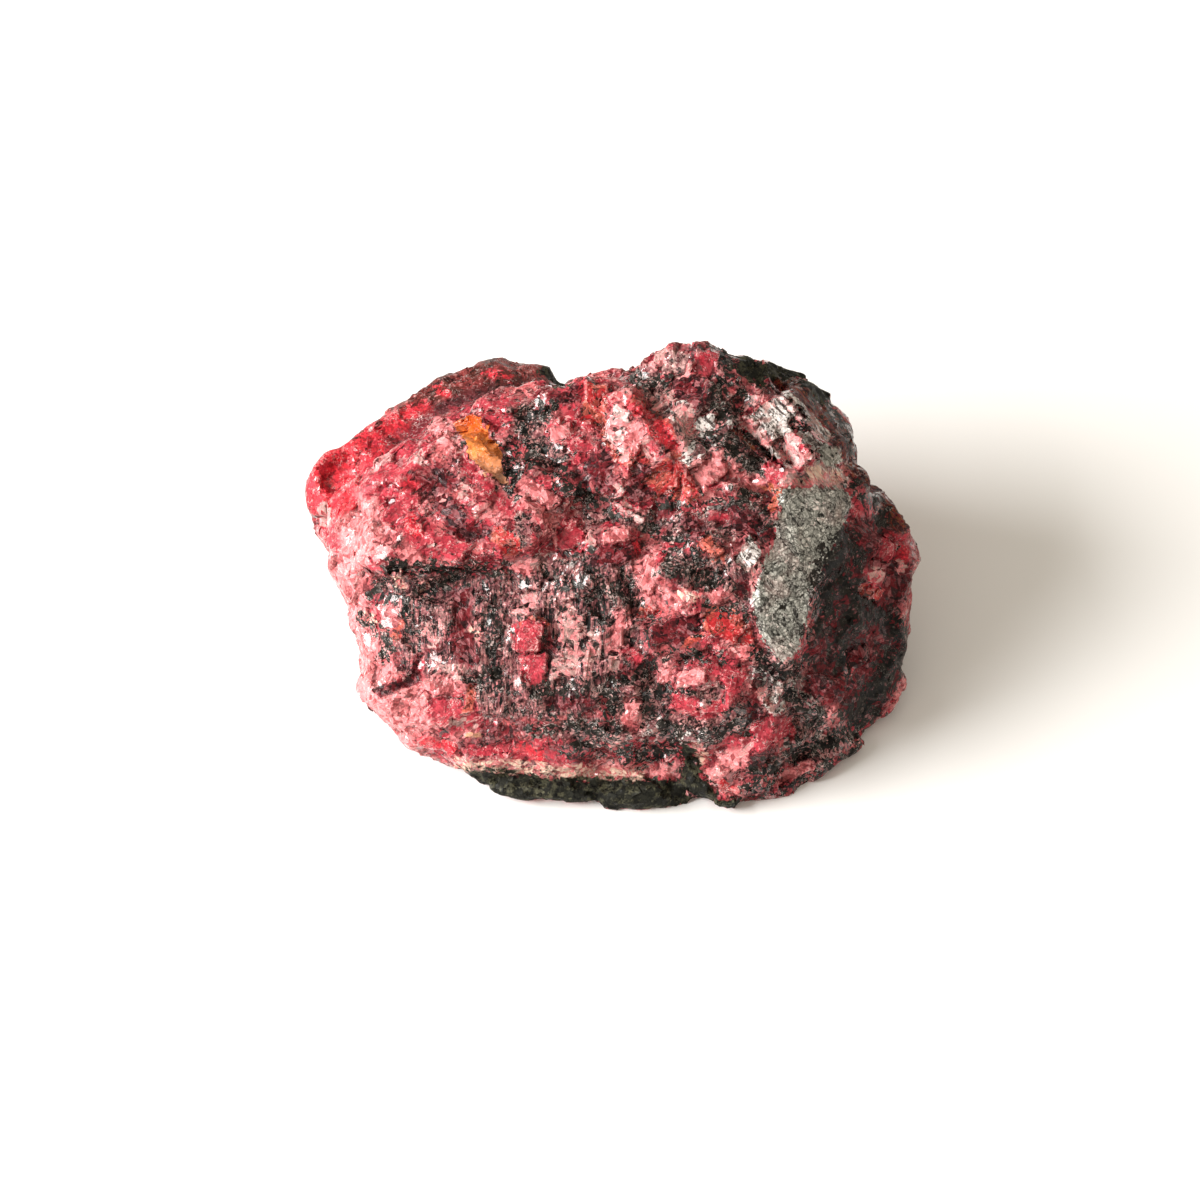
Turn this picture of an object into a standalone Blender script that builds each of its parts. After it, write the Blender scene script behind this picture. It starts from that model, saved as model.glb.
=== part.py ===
"""Rough rhodonite: one broken lump of rose-pink rhodonite with black manganese oxide, about 38 mm across.

The stone is one piece. Its masses are lumps between the main breaks. They are fused, hollowed and broken
into small flat cleavage faces, with whole plates and crystals grown into them, and the stone lies on its
flat underside.

Most corners are measured on the show face, the broken face that looks up at the viewer: (across, up, out),
in millimetres from the middle of that face. The whole face then leans back, with its lower edge on the
ground. The corners under "ground" are measured as the stone rests: (x, y, height), in millimetres.
"""

import math

import bmesh
import bpy
import numpy as np
from mathutils import Euler, Matrix, Vector, noise
from mathutils.kdtree import KDTree

MM = 0.001

LEAN = math.radians(38.0)  # how far the show face is turned from level, down towards the front
FACE_HEIGHT = 11.2  # mm, from the ground to the middle of the show face
GRAIN = 0.34  # mm, the finest step that the solid keeps
TRIANGLES_KEPT = 0.105  # share of the fused surface's triangles, few on the flat breaks
GROUND_SIZE = 0.1  # m, the cutter that makes the underside flat
BLOCK_TAPER = 0.7  # a crystal's outer end, as a share of its root
HOLLOW_TAPER = 1.3  # a hollow's mouth, as a share of its floor
SWELL = 0.7  # mm, how far the masses' flat sides bend
SWELL_GRAIN = 5.0  # mm
FACET_PATTERN = 11  # which of the random patterns of cleavage faces
FACET_SIZES = (1.0, 4.4)  # mm, from the smallest cleavage face to the largest
FACET_TRIES = 9000  # places that are tried for a face
FACET_CHOICES = 3  # nearest faces that a place can belong to
FACET_STEEPEST = 0.5  # least cosine between a face and the surface that it breaks
FACET_TILT = 0.13  # how far the faces lean from the surface they break
FACET_STEP = 0.5  # mm, the highest step between two faces
FACET_WAVER = 0.8  # mm, how far the edges of the faces wander
FACET_WAVER_GRAIN = 1.1  # mm

LUMPS = {
    # What lies under the whole show face, about a millimetre below its surface.
    "heart": {
        "face": [
            (-15.5, 3.5, -3.6), (-12.5, 7.4, -2.2), (-8.0, 10.6, -3.0), (-2.0, 11.6, -3.2),
            (4.0, 13.0, -3.0), (9.5, 12.2, -2.8), (14.2, 8.2, -3.8), (15.2, 4.0, -3.2),
            (12.6, -3.6, -0.6), (9.8, -9.2, -1.6), (4.5, -11.2, -2.6), (-8.5, -10.8, -3.4),
            (-13.4, -8.4, -4.0), (-15.4, -3.0, -3.4), (-3.0, 7.6, 0.0), (1.5, 2.0, 0.5),
            (8.5, 6.5, 0.3), (8.5, -4.6, 0.7), (-4.0, -2.0, 0.0), (-4.0, -8.0, -0.6),
        ],
        "ground": [
            (-15.5, 0.0, 4.0), (-16.5, 8.0, 4.5), (-12.6, 2.4, 1.3), (-12.0, 9.6, 1.5),
            (-9.6, 14.6, 1.9), (-5.0, 15.4, 1.1), (4.0, 16.2, 1.0), (10.4, 13.2, 1.1),
            (3.5, 17.0, 5.5), (13.4, 11.0, 2.0), (14.4, 7.0, 1.0), (16.0, 6.0, 3.0),
            (15.2, 0.4, 0.9), (12.6, -3.8, 0.7), (-9.6, -4.6, 1.2), (4.0, 15.5, 14.0),
            (9.5, 13.6, 12.5), (-8.0, 3.0, -0.5), (-7.4, 8.0, -0.5), (-3.0, 12.0, -0.5),
            (4.0, 12.6, -0.5), (8.4, 10.4, -0.5), (11.0, 6.0, -0.5), (11.6, 0.6, -0.5),
            (9.0, -3.4, -0.5), (4.6, -5.4, -0.5), (-3.8, -5.0, -0.5), (-6.4, -2.6, -0.5),
        ],
    },
    # The rose mass at the left: a broad break that faces left and overhangs the belly as a ledge.
    "rose_mass": {
        "face": [
            (-17.6, 4.8, -3.5), (-15.9, 6.6, -2.2), (-12.8, 8.7, -0.8), (-10.2, 10.4, -0.2),
            (-8.9, 8.0, 0.6), (-6.0, 5.6, 1.2), (-3.4, 2.6, 1.4), (-6.3, 0.9, 2.0),
            (-14.1, 0.9, 1.2), (-17.1, 0.6, -2.6), (-16.0, 5.0, -9.0), (-15.0, 0.0, -9.0),
            (-5.0, 8.0, -9.0), (-5.0, 1.0, -9.0),
        ],
    },
    # The crown: the middle of the top, lower than the rose mass and stepped down to it.
    "crown": {
        "face": [
            (-8.1, 11.4, -1.8), (-4.9, 11.6, -2.2), (-2.6, 12.2, -2.6), (-1.4, 12.8, -2.0),
            (0.9, 12.8, -1.4), (4.4, 12.5, -0.6), (8.0, 10.4, 0.2), (-8.6, 7.9, -0.4),
            (-5.4, 5.2, 0.2), (1.8, 5.1, 1.6), (9.6, 5.8, 1.2), (2.0, 9.5, 1.0),
            (-7.0, 10.0, -8.0), (8.0, 11.0, -10.0), (-5.0, 4.0, -10.0), (9.0, 4.0, -10.0),
        ],
    },
    "knob": {
        "face": [
            (1.7, 13.5, -2.0), (3.0, 14.3, -1.8), (4.4, 14.75, -1.6), (6.25, 14.5, -1.6),
            (7.7, 14.1, -2.4), (9.2, 14.2, -3.0), (9.9, 13.2, -2.6), (10.2, 11.5, -0.6),
            (5.5, 11.2, 0.6), (2.4, 11.3, -0.2), (3.0, 13.0, -8.0), (9.0, 13.0, -8.0),
            (3.0, 8.0, -8.0), (9.0, 8.0, -8.0),
        ],
    },
    # The cleavage block at the upper right, cut square by two breaks.
    "right_block": {
        "face": [
            (8.7, 11.4, -0.4), (10.9, 11.8, -1.2), (14.9, 8.3, -2.2), (13.1, 6.2, -0.2),
            (9.9, 7.6, 0.8), (12.6, 13.0, -4.5), (15.0, 10.4, -5.0), (15.4, 8.9, -4.5),
            (15.2, 7.7, -4.0), (12.0, 11.0, -10.0), (15.0, 7.0, -10.0), (9.0, 7.0, -9.0),
        ],
    },
    "back_right_lump": {
        "face": [
            (10.4, 13.9, -7.0), (12.7, 13.9, -7.2), (13.7, 12.9, -7.0), (14.4, 11.8, -7.0),
            (15.0, 10.4, -6.8), (9.0, 9.0, -5.0), (13.0, 7.0, -5.0), (8.6, 12.6, -4.6),
        ],
        "ground": [(7.0, 15.6, 12.0), (12.5, 13.4, 8.0), (14.8, 10.4, 8.5), (9.0, 15.4, 7.0)],
    },
    # The belly: the striated face under the ledge, and the pale flank to its left.
    "belly": {
        "face": [
            (-14.6, 0.2, -1.4), (-6.0, 0.4, 0.5), (1.8, 1.0, 1.2), (2.4, -6.8, 1.2),
            (-3.1, -8.3, 1.0), (-8.8, -6.8, 0.6), (-13.1, -6.0, -0.6), (-17.1, 0.9, -3.2),
            (-16.4, -2.6, -3.2), (-15.8, -5.2, -3.6), (-14.8, -8.9, -4.5), (-11.2, -9.6, -1.6),
            (-4.0, -9.9, -0.2), (4.0, -9.9, -0.4), (-14.0, 0.0, -9.0), (4.0, 1.0, -9.0),
            (-12.0, -8.0, -7.0), (4.0, -9.0, -7.0),
        ],
    },
    "middle": {
        "face": [
            (-3.6, 4.2, 0.8), (1.8, 4.7, 1.0), (9.6, 5.2, 1.4), (9.2, -2.8, 2.3),
            (1.8, -1.2, 1.7), (-3.2, 0.6, 1.2), (10.4, 1.6, 1.8), (-3.0, 4.0, -8.0),
            (10.0, 4.0, -8.0), (9.0, -3.0, -8.0), (-3.0, 0.0, -8.0),
        ],
    },
    "chin": {
        "face": [
            (1.6, -4.6, 1.4), (8.9, -3.1, 2.1), (10.4, -5.2, 1.6), (10.8, -8.0, 0.6),
            (8.6, -10.2, -0.7), (3.6, -10.2, -0.6), (2.2, -6.8, 1.3), (4.0, -4.0, -8.0),
            (10.0, -4.0, -8.0), (9.0, -10.0, -7.0), (3.0, -10.0, -7.0),
        ],
    },
    # What the grey plate lies on.
    "plate_bed": {
        "face": [
            (10.6, 6.0, 0.6), (14.4, 6.2, -1.4), (15.2, 5.1, -2.0), (13.8, 1.6, 0.0),
            (12.4, -2.1, 0.8), (11.7, -4.4, 0.9), (10.6, -5.2, 1.3), (9.0, -3.1, 2.0),
            (8.8, -0.7, 2.0), (9.8, 1.6, 1.6), (11.0, 5.0, -4.0), (14.0, 5.0, -5.0),
            (11.0, -4.0, -3.0),
        ],
    },
    # The dark flank that falls away to the right of the plate.
    "right_flank": {
        "face": [
            (14.6, 6.4, -2.6), (15.8, 6.4, -4.6), (17.3, 4.9, -5.0), (18.8, 3.5, -5.5),
            (19.0, 2.4, -5.6), (18.9, 0.6, -5.8), (18.9, -3.1, -6.2), (18.8, -5.4, -6.6),
            (17.7, -8.2, -7.4), (13.5, 1.6, -0.2), (12.2, -2.1, 0.4), (11.4, -4.4, 0.6),
            (10.8, -7.6, 0.2), (15.2, -11.0, -5.4), (9.6, -10.8, -1.6),
        ],
        "ground": [
            (17.6, -0.6, 0.8), (14.8, -4.9, 0.5), (9.6, -6.0, -0.1), (15.4, 6.5, 1.0),
            (18.2, 5.4, 2.6), (16.6, 10.0, 8.0), (14.0, 8.0, 4.0),
        ],
    },
    # The pink and cream band along the bottom of the show face, over the black crust.
    "lower_band": {
        "face": [
            (-14.4, -9.2, -4.4), (-11.5, -11.2, -4.8), (-9.1, -11.7, -3.4), (-4.0, -11.9, -2.4),
            (4.8, -11.9, -2.2), (5.4, -9.8, -0.6), (-4.0, -9.5, -0.4), (-11.2, -9.2, -1.8),
            (-11.0, -9.0, -7.0), (4.0, -10.0, -6.5),
        ],
    },
    "crust": {
        "ground": [
            (-9.4, -7.0, 1.2), (-7.2, -8.1, 0.6), (-4.9, -9.0, 0.3), (2.4, -9.4, 0.2),
            (4.8, -9.0, 0.3), (-9.0, -7.4, 2.2), (5.0, -8.0, 2.2), (-6.0, 0.0, -0.5),
            (5.0, 0.0, -0.5), (-8.0, 0.0, 3.0), (5.0, 0.0, 3.0),
        ],
    },
    # The prow at the lower right, parted from the band by a notch.
    "prow": {
        "face": [
            (6.0, -13.1, -2.5), (7.2, -14.7, -2.7), (9.8, -13.8, -3.5), (12.4, -12.6, -4.4),
            (15.2, -11.0, -5.6), (8.4, -10.0, -0.9), (10.8, -8.4, 0.0), (6.4, -11.4, -1.6),
            (9.0, -9.0, -7.0), (14.0, -8.0, -8.0), (7.0, -12.0, -5.0),
        ],
        "ground": [(7.2, -9.4, 0.2), (12.0, -6.8, 0.4), (8.0, -3.0, -0.5)],
    },
    # The lobe behind the rose mass, lower than it.
    "back_left_lobe": {
        "face": [
            (-19.5, 5.6, -6.3), (-19.2, 7.3, -7.0), (-16.8, 9.1, -8.0), (-14.0, 10.8, -9.0),
            (-11.3, 12.9, -10.2), (-8.0, 14.3, -10.8), (-5.8, 14.6, -10.8), (-3.7, 13.6, -10.0),
            (-2.6, 12.0, -9.0), (-17.4, 4.4, -5.5), (-12.0, 8.5, -5.5), (-9.0, 10.6, -6.0),
            (-4.0, 11.0, -6.5),
        ],
        "ground": [
            (-17.6, 8.6, 4.0), (-14.6, 13.6, 3.4), (-8.8, 17.4, 4.6), (-2.0, 17.6, 6.0),
            (-14.5, 5.0, 3.0), (-3.0, 10.0, 3.0),
        ],
    },
    # The back, which the photograph doesn't show: two broad breaks and a low shelf.
    "back_shelf": {
        "ground": [
            (-11.6, 13.4, 1.6), (-3.0, 17.2, 1.0), (5.4, 17.4, 0.7), (11.6, 13.8, 1.2),
            (-9.0, 16.6, 4.8), (-2.0, 18.0, 3.6), (4.5, 18.2, 3.0), (12.0, 14.2, 5.4),
            (0.0, 8.0, 0.0), (-5.0, 9.0, -0.5), (7.0, 9.0, -0.5), (0.0, 15.0, 8.0),
        ],
    },
    "back_break": {
        "ground": [
            (-12.5, 14.4, 6.6), (-6.0, 17.4, 8.4), (1.0, 17.0, 11.4), (-8.0, 12.0, 12.0),
            (1.0, 13.8, 14.6), (-4.0, 17.6, 5.0), (-13.0, 10.0, 6.0), (3.0, 10.0, 6.0),
        ],
    },
    "back_buttress": {
        "ground": [
            (1.5, 17.4, 9.5), (5.5, 17.2, 10.6), (8.0, 15.8, 10.0), (3.0, 15.2, 15.6),
            (7.6, 14.4, 14.8), (1.0, 12.0, 5.0), (8.5, 12.0, 5.0), (5.0, 17.8, 5.0), (2.0, 14.0, 14.0),
        ],
    },
}

# Flat cleavage faces that stay whole among the broken ones, as the corners that each slab spans.
PLATES = {
    # The grey-green plate on the right of the show face.
    "grey_plate": [
        (10.6, 5.9, 1.15), (14.5, 5.9, -0.8), (15.2, 5.1, -1.2), (13.8, 1.6, 0.45), (12.4, -1.0, 1.5),
        (12.4, -2.1, 1.6), (11.7, -4.4, 1.9), (10.6, -5.2, 2.25), (9.1, -3.1, 2.7), (8.9, -0.7, 2.55),
        (9.8, 1.6, 1.9), (10.4, 4.0, 1.45), (11.0, 5.0, -2.0), (13.6, 4.6, -2.6), (11.0, -4.0, 0.0),
        (10.0, -1.0, 0.5),
    ],
    # The silvery faces of the block at the upper right: the top and the slope beside it.
    "right_block_top": [
        (8.9, 11.2, 0.2), (10.6, 11.8, -0.3), (14.6, 8.2, -1.7), (13.0, 6.4, -0.2), (9.9, 7.7, 1.1),
        (10.0, 10.0, -2.5), (13.0, 7.8, -3.5),
    ],
    "right_block_slope": [
        (10.9, 11.9, -0.8), (14.9, 8.4, -2.2), (15.3, 8.8, -4.2), (12.3, 12.5, -4.0), (11.0, 10.6, -3.5),
        (14.0, 8.0, -4.6),
    ],
}

# Crystals that stand out of the show face, each a prism with a smaller outer end:
# middle (across, up, out), sides (long, wide, deep), and turns in degrees: in the face's plane,
# then tipped to the right and tipped upwards.
FACE_BLOCKS = [
    ((1.1, 10.2, 0.1), (3.2, 4.2, 2.6), (20, -16, 10)),
    ((3.4, 8.6, 0.5), (3.0, 3.2, 2.4), (35, 14, 6)),
    ((5.6, 13.0, -1.5), (3.0, 3.4, 2.6), (-18, 12, 14)),
    ((8.7, 13.0, -2.9), (2.4, 1.8, 2.4), (-8, 10, 20)),
    ((10.4, 6.6, 0.2), (2.2, 2.0, 2.2), (15, 12, -8)),
    ((-3.9, 6.1, 0.0), (4.8, 2.0, 2.0), (-30, -8, -6)),
    ((0.2, 2.6, 0.7), (4.0, 2.4, 2.0), (8, -8, -12)),
    ((6.4, 2.1, 1.3), (1.8, 2.6, 1.8), (28, 14, -10)),
    ((8.0, 0.4, 1.5), (2.6, 3.6, 1.8), (-28, 16, -6)),
    ((4.9, -3.2, 1.2), (6.4, 2.9, 2.0), (12, 4, -12)),
    ((-5.1, -3.6, 0.3), (2.3, 5.0, 1.8), (2, 6, -5)),
    ((-2.3, -3.7, 0.5), (3.0, 3.8, 1.6), (-4, -8, 6)),
    ((-12.6, -7.2, -2.2), (3.2, 3.0, 2.6), (20, -22, -12)),
    ((-10.0, -7.8, -1.1), (4.6, 2.6, 2.2), (8, -10, -16)),
    ((6.3, -6.6, 0.6), (5.0, 3.6, 2.4), (-22, 6, -12)),
    ((7.4, -11.4, -2.2), (2.2, 3.4, 2.4), (-24, 12, -18)),
    ((15.8, 1.4, -3.4), (3.8, 4.2, 2.6), (-20, 28, 6)),
    ((13.0, -6.9, -2.0), (3.4, 3.4, 2.6), (-18, 24, -8)),
]

# Hollows in the show face that the cleavage then breaks up: middle, sides and turns as above.
FACE_HOLLOWS = [
    ((-9.8, 5.2, 2.2), (5.6, 3.0, 3.0), (-52, -22, 8)),
    ((-12.4, 0.0, 0.8), (4.6, 1.4, 3.6), (2, -12, 0)),
    ((-7.6, 0.3, 1.9), (6.4, 1.3, 3.2), (-2, -6, 0)),
    ((-5.0, 8.4, 1.4), (5.4, 2.4, 3.0), (-58, 0, 0)),
    ((2.0, 4.9, 2.3), (6.0, 1.2, 3.0), (-10, 0, 0)),
    ((7.4, 5.0, 2.3), (5.0, 1.2, 2.8), (8, 0, 0)),
    ((5.4, 0.0, 2.7), (3.0, 2.2, 2.8), (20, 10, 0)),
    ((2.4, -5.6, 2.4), (5.4, 1.3, 3.0), (14, 0, 0)),
    ((8.4, -5.3, 2.7), (4.0, 1.2, 2.8), (-30, 0, 0)),
    ((13.4, -3.4, 0.9), (4.4, 2.2, 3.0), (-60, 20, 0)),
    ((5.6, -12.8, -1.8), (1.5, 4.4, 4.6), (-14, 0, 0)),
    ((-13.4, -6.4, -0.2), (3.4, 1.2, 2.8), (22, -20, 0)),
    ((0.0, -10.5, 0.3), (6.4, 1.1, 2.6), (-3, 0, 0)),
    ((7.6, 11.0, 0.9), (4.0, 1.3, 2.8), (-24, 0, 0)),
    ((10.6, -10.0, -0.8), (1.3, 4.4, 3.0), (-40, 0, 0)),
]


def clear_scene():
    for obj in list(bpy.data.objects):
        bpy.data.objects.remove(obj)


def collection(name):
    group = bpy.data.collections.new(name)
    bpy.context.scene.collection.children.link(group)
    return group


def ground_frame():
    return Matrix.Scale(MM, 4)


def face_frame():
    """From the show face's millimetres to where the stone rests, in metres."""
    return ground_frame() @ Matrix.Translation((0, 0, FACE_HEIGHT)) @ Matrix.Rotation(LEAN, 4, "X")


def add_lump(mesh, points):
    """Adds the closed lump that a set of corners spans."""
    corners = [mesh.verts.new(point) for point in points]
    hull = bmesh.ops.convex_hull(mesh, input=corners)
    buried = {v for v in hull["geom_interior"] + hull["geom_unused"] if isinstance(v, bmesh.types.BMVert)}
    bmesh.ops.delete(mesh, geom=list(buried), context="VERTS")


def add_block(mesh, block, taper):
    """Adds a four-sided prism at its middle, turned in the face's plane and then tipped."""
    middle, sides, (turn, tip_right, tip_up) = block
    tips = Euler((math.radians(-tip_up), math.radians(tip_right), math.radians(turn)))
    place = face_frame() @ Matrix.Translation(middle) @ tips.to_matrix().to_4x4()
    square = Matrix.Diagonal((*sides, 1.0)) @ Matrix.Rotation(math.pi / 4, 4, "Z")
    half_diagonal = math.sqrt(0.5)
    bmesh.ops.create_cone(
        mesh, cap_ends=True, segments=4, radius1=half_diagonal, radius2=half_diagonal * taper, depth=1.0,
        matrix=place @ square,
    )


def mesh_object(name, mesh, group):
    bmesh.ops.recalc_face_normals(mesh, faces=mesh.faces)
    data = bpy.data.meshes.new(name)
    mesh.to_mesh(data)
    mesh.free()
    obj = bpy.data.objects.new(name, data)
    group.objects.link(obj)
    return obj


def helper(name, mesh, group):
    """An object that only shapes the stone and isn't a piece itself."""
    obj = mesh_object(name, mesh, group)
    obj.hide_render = True
    obj.display_type = "WIRE"
    return obj


def masses(group):
    """The lumps that the stone is made of, overlapping in one mesh."""
    mesh = bmesh.new()
    for lump in LUMPS.values():
        points = [face_frame() @ Vector(corner) for corner in lump.get("face", [])]
        points += [ground_frame() @ Vector(corner) for corner in lump.get("ground", [])]
        add_lump(mesh, points)
    return helper("masses", mesh, group)


def hollow_cutter(group):
    mesh = bmesh.new()
    for block in FACE_HOLLOWS:
        add_block(mesh, block, HOLLOW_TAPER)
    cutter = helper("hollow_cutter", mesh, group)
    fuse(cutter, "fused_hollows")
    return cutter


def ground_cutter(group):
    mesh = bmesh.new()
    bmesh.ops.create_cube(mesh, size=GROUND_SIZE, matrix=Matrix.Translation((0, 0, -GROUND_SIZE / 2)))
    return helper("ground_cutter", mesh, group)


def fuse(obj, name):
    remesh = obj.modifiers.new(name, "REMESH")
    remesh.mode = "VOXEL"
    remesh.voxel_size = GRAIN * MM


def cut(obj, name, cutter):
    boolean = obj.modifiers.new(name, "BOOLEAN")
    boolean.operation = "DIFFERENCE"
    boolean.object = cutter


def swell(obj, name):
    """Bends the flat sides of the masses a little, so no break stays dead level."""
    texture = bpy.data.textures.new(name, "CLOUDS")
    texture.noise_depth = 0
    texture.noise_scale = SWELL_GRAIN * MM
    displace = obj.modifiers.new(name, "DISPLACE")
    displace.texture = texture
    displace.texture_coords = "LOCAL"
    displace.strength = SWELL * MM
    displace.mid_level = 0.5


def finished_mesh(obj):
    graph = bpy.context.evaluated_depsgraph_get()
    return bpy.data.meshes.new_from_object(obj.evaluated_get(graph))


def facet_middles(places, picker):
    """Picks the middles of the cleavage faces and their sizes, so that they cover the surface evenly."""
    middles = []
    reaches = np.empty(0)
    for candidate in picker.permutation(len(places))[:FACET_TRIES]:
        reach = picker.uniform(*FACET_SIZES)
        gaps = np.linalg.norm(places[middles] - places[candidate], axis=1)
        if np.all(gaps > (reaches + reach) / 2):
            middles.append(candidate)
            reaches = np.append(reaches, reach)
    return middles, reaches


def facet_facings(places, normals, middles, reaches, picker):
    """Which way each cleavage face looks: as the surface there does on average, and leaning a little."""
    facings = []
    for middle, reach in zip(middles, reaches):
        near = np.linalg.norm(places - places[middle], axis=1) < reach
        facings.append(normals[near].mean(axis=0) + picker.normal(0, FACET_TILT, 3))
    facings = np.array(facings)
    return facings / np.linalg.norm(facings, axis=1)[:, None]


def waver(place):
    """How far a place is moved before it is given to a face, so that the edges of the faces aren't straight."""
    spot = Vector(place) / FACET_WAVER_GRAIN
    return FACET_WAVER * Vector((noise.noise(spot), noise.noise(spot.yzx), noise.noise(spot.zxy)))


def cleave(mesh):
    """Breaks the surface into flat cleavage faces, each part of it brought onto a plane of its own."""
    picker = np.random.default_rng(FACET_PATTERN)
    places = np.array([vertex.co for vertex in mesh.vertices]) / MM
    normals = np.array([vertex.normal for vertex in mesh.vertices])
    middles, reaches = facet_middles(places, picker)
    facings = facet_facings(places, normals, middles, reaches, picker)
    tree = KDTree(len(middles))
    for number, middle in enumerate(middles):
        tree.insert(places[middle], number)
    tree.balance()
    for vertex, place, normal in zip(mesh.vertices, places, normals):
        nearest = tree.find_n(Vector(place) + waver(place), FACET_CHOICES)
        number = min(nearest, key=lambda found: found[2] / reaches[found[1]])[1]
        facing = facings[number]
        lift = facing.dot(places[middles[number]] - place) / max(facing.dot(normal), FACET_STEEPEST)
        vertex.co += Vector(normal) * float(np.clip(lift, -FACET_STEP, FACET_STEP)) * MM


def broken_masses(group):
    """The fused masses, hollowed and then broken along their cleavage."""
    broken = masses(group)
    fuse(broken, "fused_masses")
    cut(broken, "hollows", hollow_cutter(group))
    swell(broken, "broad_swell")
    mesh = finished_mesh(broken)
    cleave(mesh)
    return mesh


def stone_body(group):
    """The broken masses with the whole plates and crystals grown into them, cut flat underneath."""
    mesh = bmesh.new()
    mesh.from_mesh(broken_masses(group))
    for corners in PLATES.values():
        add_lump(mesh, [face_frame() @ Vector(corner) for corner in corners])
    for block in FACE_BLOCKS:
        add_block(mesh, block, BLOCK_TAPER)
    body = helper("stone_body", mesh, group)
    fuse(body, "fused_surface")
    thin = body.modifiers.new("few_faces_on_flat_breaks", "DECIMATE")
    thin.ratio = TRIANGLES_KEPT
    cut(body, "flat_underside", ground_cutter(group))
    return finished_mesh(body)


def stand_at_origin(mesh):
    """Puts the middle of the stone's length and depth over the origin."""
    corners = np.array([vertex.co for vertex in mesh.vertices])
    middle = (corners.min(axis=0) + corners.max(axis=0)) / 2
    mesh.transform(Matrix.Translation((-middle[0], -middle[1], 0)))


def rhodonite():
    material = bpy.data.materials.new("rhodonite")
    material.use_nodes = True
    surface = material.node_tree.nodes["Principled BSDF"]
    surface.inputs["Base Color"].default_value = (0.34, 0.075, 0.095, 1.0)
    surface.inputs["Roughness"].default_value = 0.45
    surface.inputs["Metallic"].default_value = 0.0
    return material


clear_scene()
stone = bpy.data.objects.new("rough_rhodonite", stone_body(collection("shaping")))
stand_at_origin(stone.data)
stone.data.materials.clear()
stone.data.materials.append(rhodonite())
collection("rough_rhodonite").objects.link(stone)
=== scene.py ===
import math

import bpy
import numpy as np
from mathutils import Matrix, Vector, noise
from mathutils.kdtree import KDTree


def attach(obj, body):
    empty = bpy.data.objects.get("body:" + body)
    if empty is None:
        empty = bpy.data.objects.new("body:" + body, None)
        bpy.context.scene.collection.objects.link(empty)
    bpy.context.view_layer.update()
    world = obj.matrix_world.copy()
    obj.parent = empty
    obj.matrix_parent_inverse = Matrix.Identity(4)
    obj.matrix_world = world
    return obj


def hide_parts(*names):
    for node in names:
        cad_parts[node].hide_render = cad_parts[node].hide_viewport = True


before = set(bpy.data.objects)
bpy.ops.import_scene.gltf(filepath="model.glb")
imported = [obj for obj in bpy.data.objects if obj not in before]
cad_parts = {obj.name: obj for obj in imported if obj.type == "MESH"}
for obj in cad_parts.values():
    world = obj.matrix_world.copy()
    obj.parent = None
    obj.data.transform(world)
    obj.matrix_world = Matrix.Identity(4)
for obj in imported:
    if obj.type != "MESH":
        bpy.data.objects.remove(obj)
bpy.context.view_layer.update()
add_to_scene = bpy.context.scene.collection.objects.link
bpy.ops.object.select_all(action="DESELECT")


# The stone: one lump of massive rhodonite, broken from its vein and left rough.
# Its surface is all breaks: flat cleavage faces a millimetre or two across, and finer chips on them.
MM = 0.001  # in the frame's metres
SAME_PLACE = 1e-7  # m, within which corners of the solid are one
SKIN_GRAIN = 0.215  # mm, the finest step of the skin

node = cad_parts["rough_rhodonite"]
stone = node.copy()
stone.data = node.data.copy()
stone.name = "rhodonite_stone"
add_to_scene(stone)
bpy.context.view_layer.objects.active = stone
stone.select_set(True)
bpy.ops.object.mode_set(mode="EDIT")
bpy.ops.mesh.select_all(action="SELECT")
bpy.ops.mesh.remove_doubles(threshold=SAME_PLACE)
bpy.ops.object.mode_set(mode="OBJECT")

FUSED_LUMPS = {  # middle and half sizes in mm, where a fragment sits in a gap between the larger breaks
    "crust_in_the_gap": ((5.4, -12.3, 1.25), (1.3, 1.35, 1.25)),
    "right_shoulder": ((14.8, 2.5, 12.3), (1.4, 1.3, 1.2)),
    "front_crust": ((-3.0, -12.6, 0.85), (4.8, 1.05, 0.85)),
    "prow_foot": ((7.1, -13.0, 0.85), (1.2, 1.15, 0.85)),
}
for name, (middle, half_sizes) in FUSED_LUMPS.items():
    bpy.ops.mesh.primitive_ico_sphere_add(subdivisions=3, radius=1)
    lump = bpy.context.object
    lump.name = name
    lump.scale = Vector(half_sizes) * MM
    lump.location = Vector(middle) * MM
    bpy.ops.object.transform_apply()
    stone.select_set(True)
    bpy.context.view_layer.objects.active = stone
    bpy.ops.object.join()
skin = stone.modifiers.new("skin", "REMESH")
skin.mode = "VOXEL"
skin.voxel_size = SKIN_GRAIN * MM
bpy.ops.object.modifier_apply(modifier="skin")


def corners_of_skin(what):
    """The "co" or "normal" of every corner of the stone, in rows of three."""
    values = np.empty(len(stone.data.vertices) * 3)
    stone.data.vertices.foreach_get(what, values)
    return values.reshape(-1, 3)


def move_corners(places):
    """Puts every corner of the stone at its new place, given in millimetres."""
    stone.data.vertices.foreach_set("co", (places * MM).ravel())
    stone.data.update()


# The show face is the broken face that looks up at the viewer. Its own directions are across, up and
# out, in millimetres from its middle, and the marks on it are laid out as the photograph's eye sees them.
FACE_LEAN = math.radians(38)
FACE_MIDDLE = Vector((-0.109, -4.517, 11.2))  # mm, in the frame
EYE_DISTANCE = 400.0  # mm, from the middle of the show face
LOBE_DEPTH = -4.0  # mm, behind the show face's middle: the lobe at the back lies deeper than this

lean = Matrix.Rotation(FACE_LEAN, 3, "X")
ACROSS, UP, OUT = (np.array(lean @ Vector(axis)) for axis in ((1, 0, 0), (0, 1, 0), (0, 0, 1)))


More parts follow.
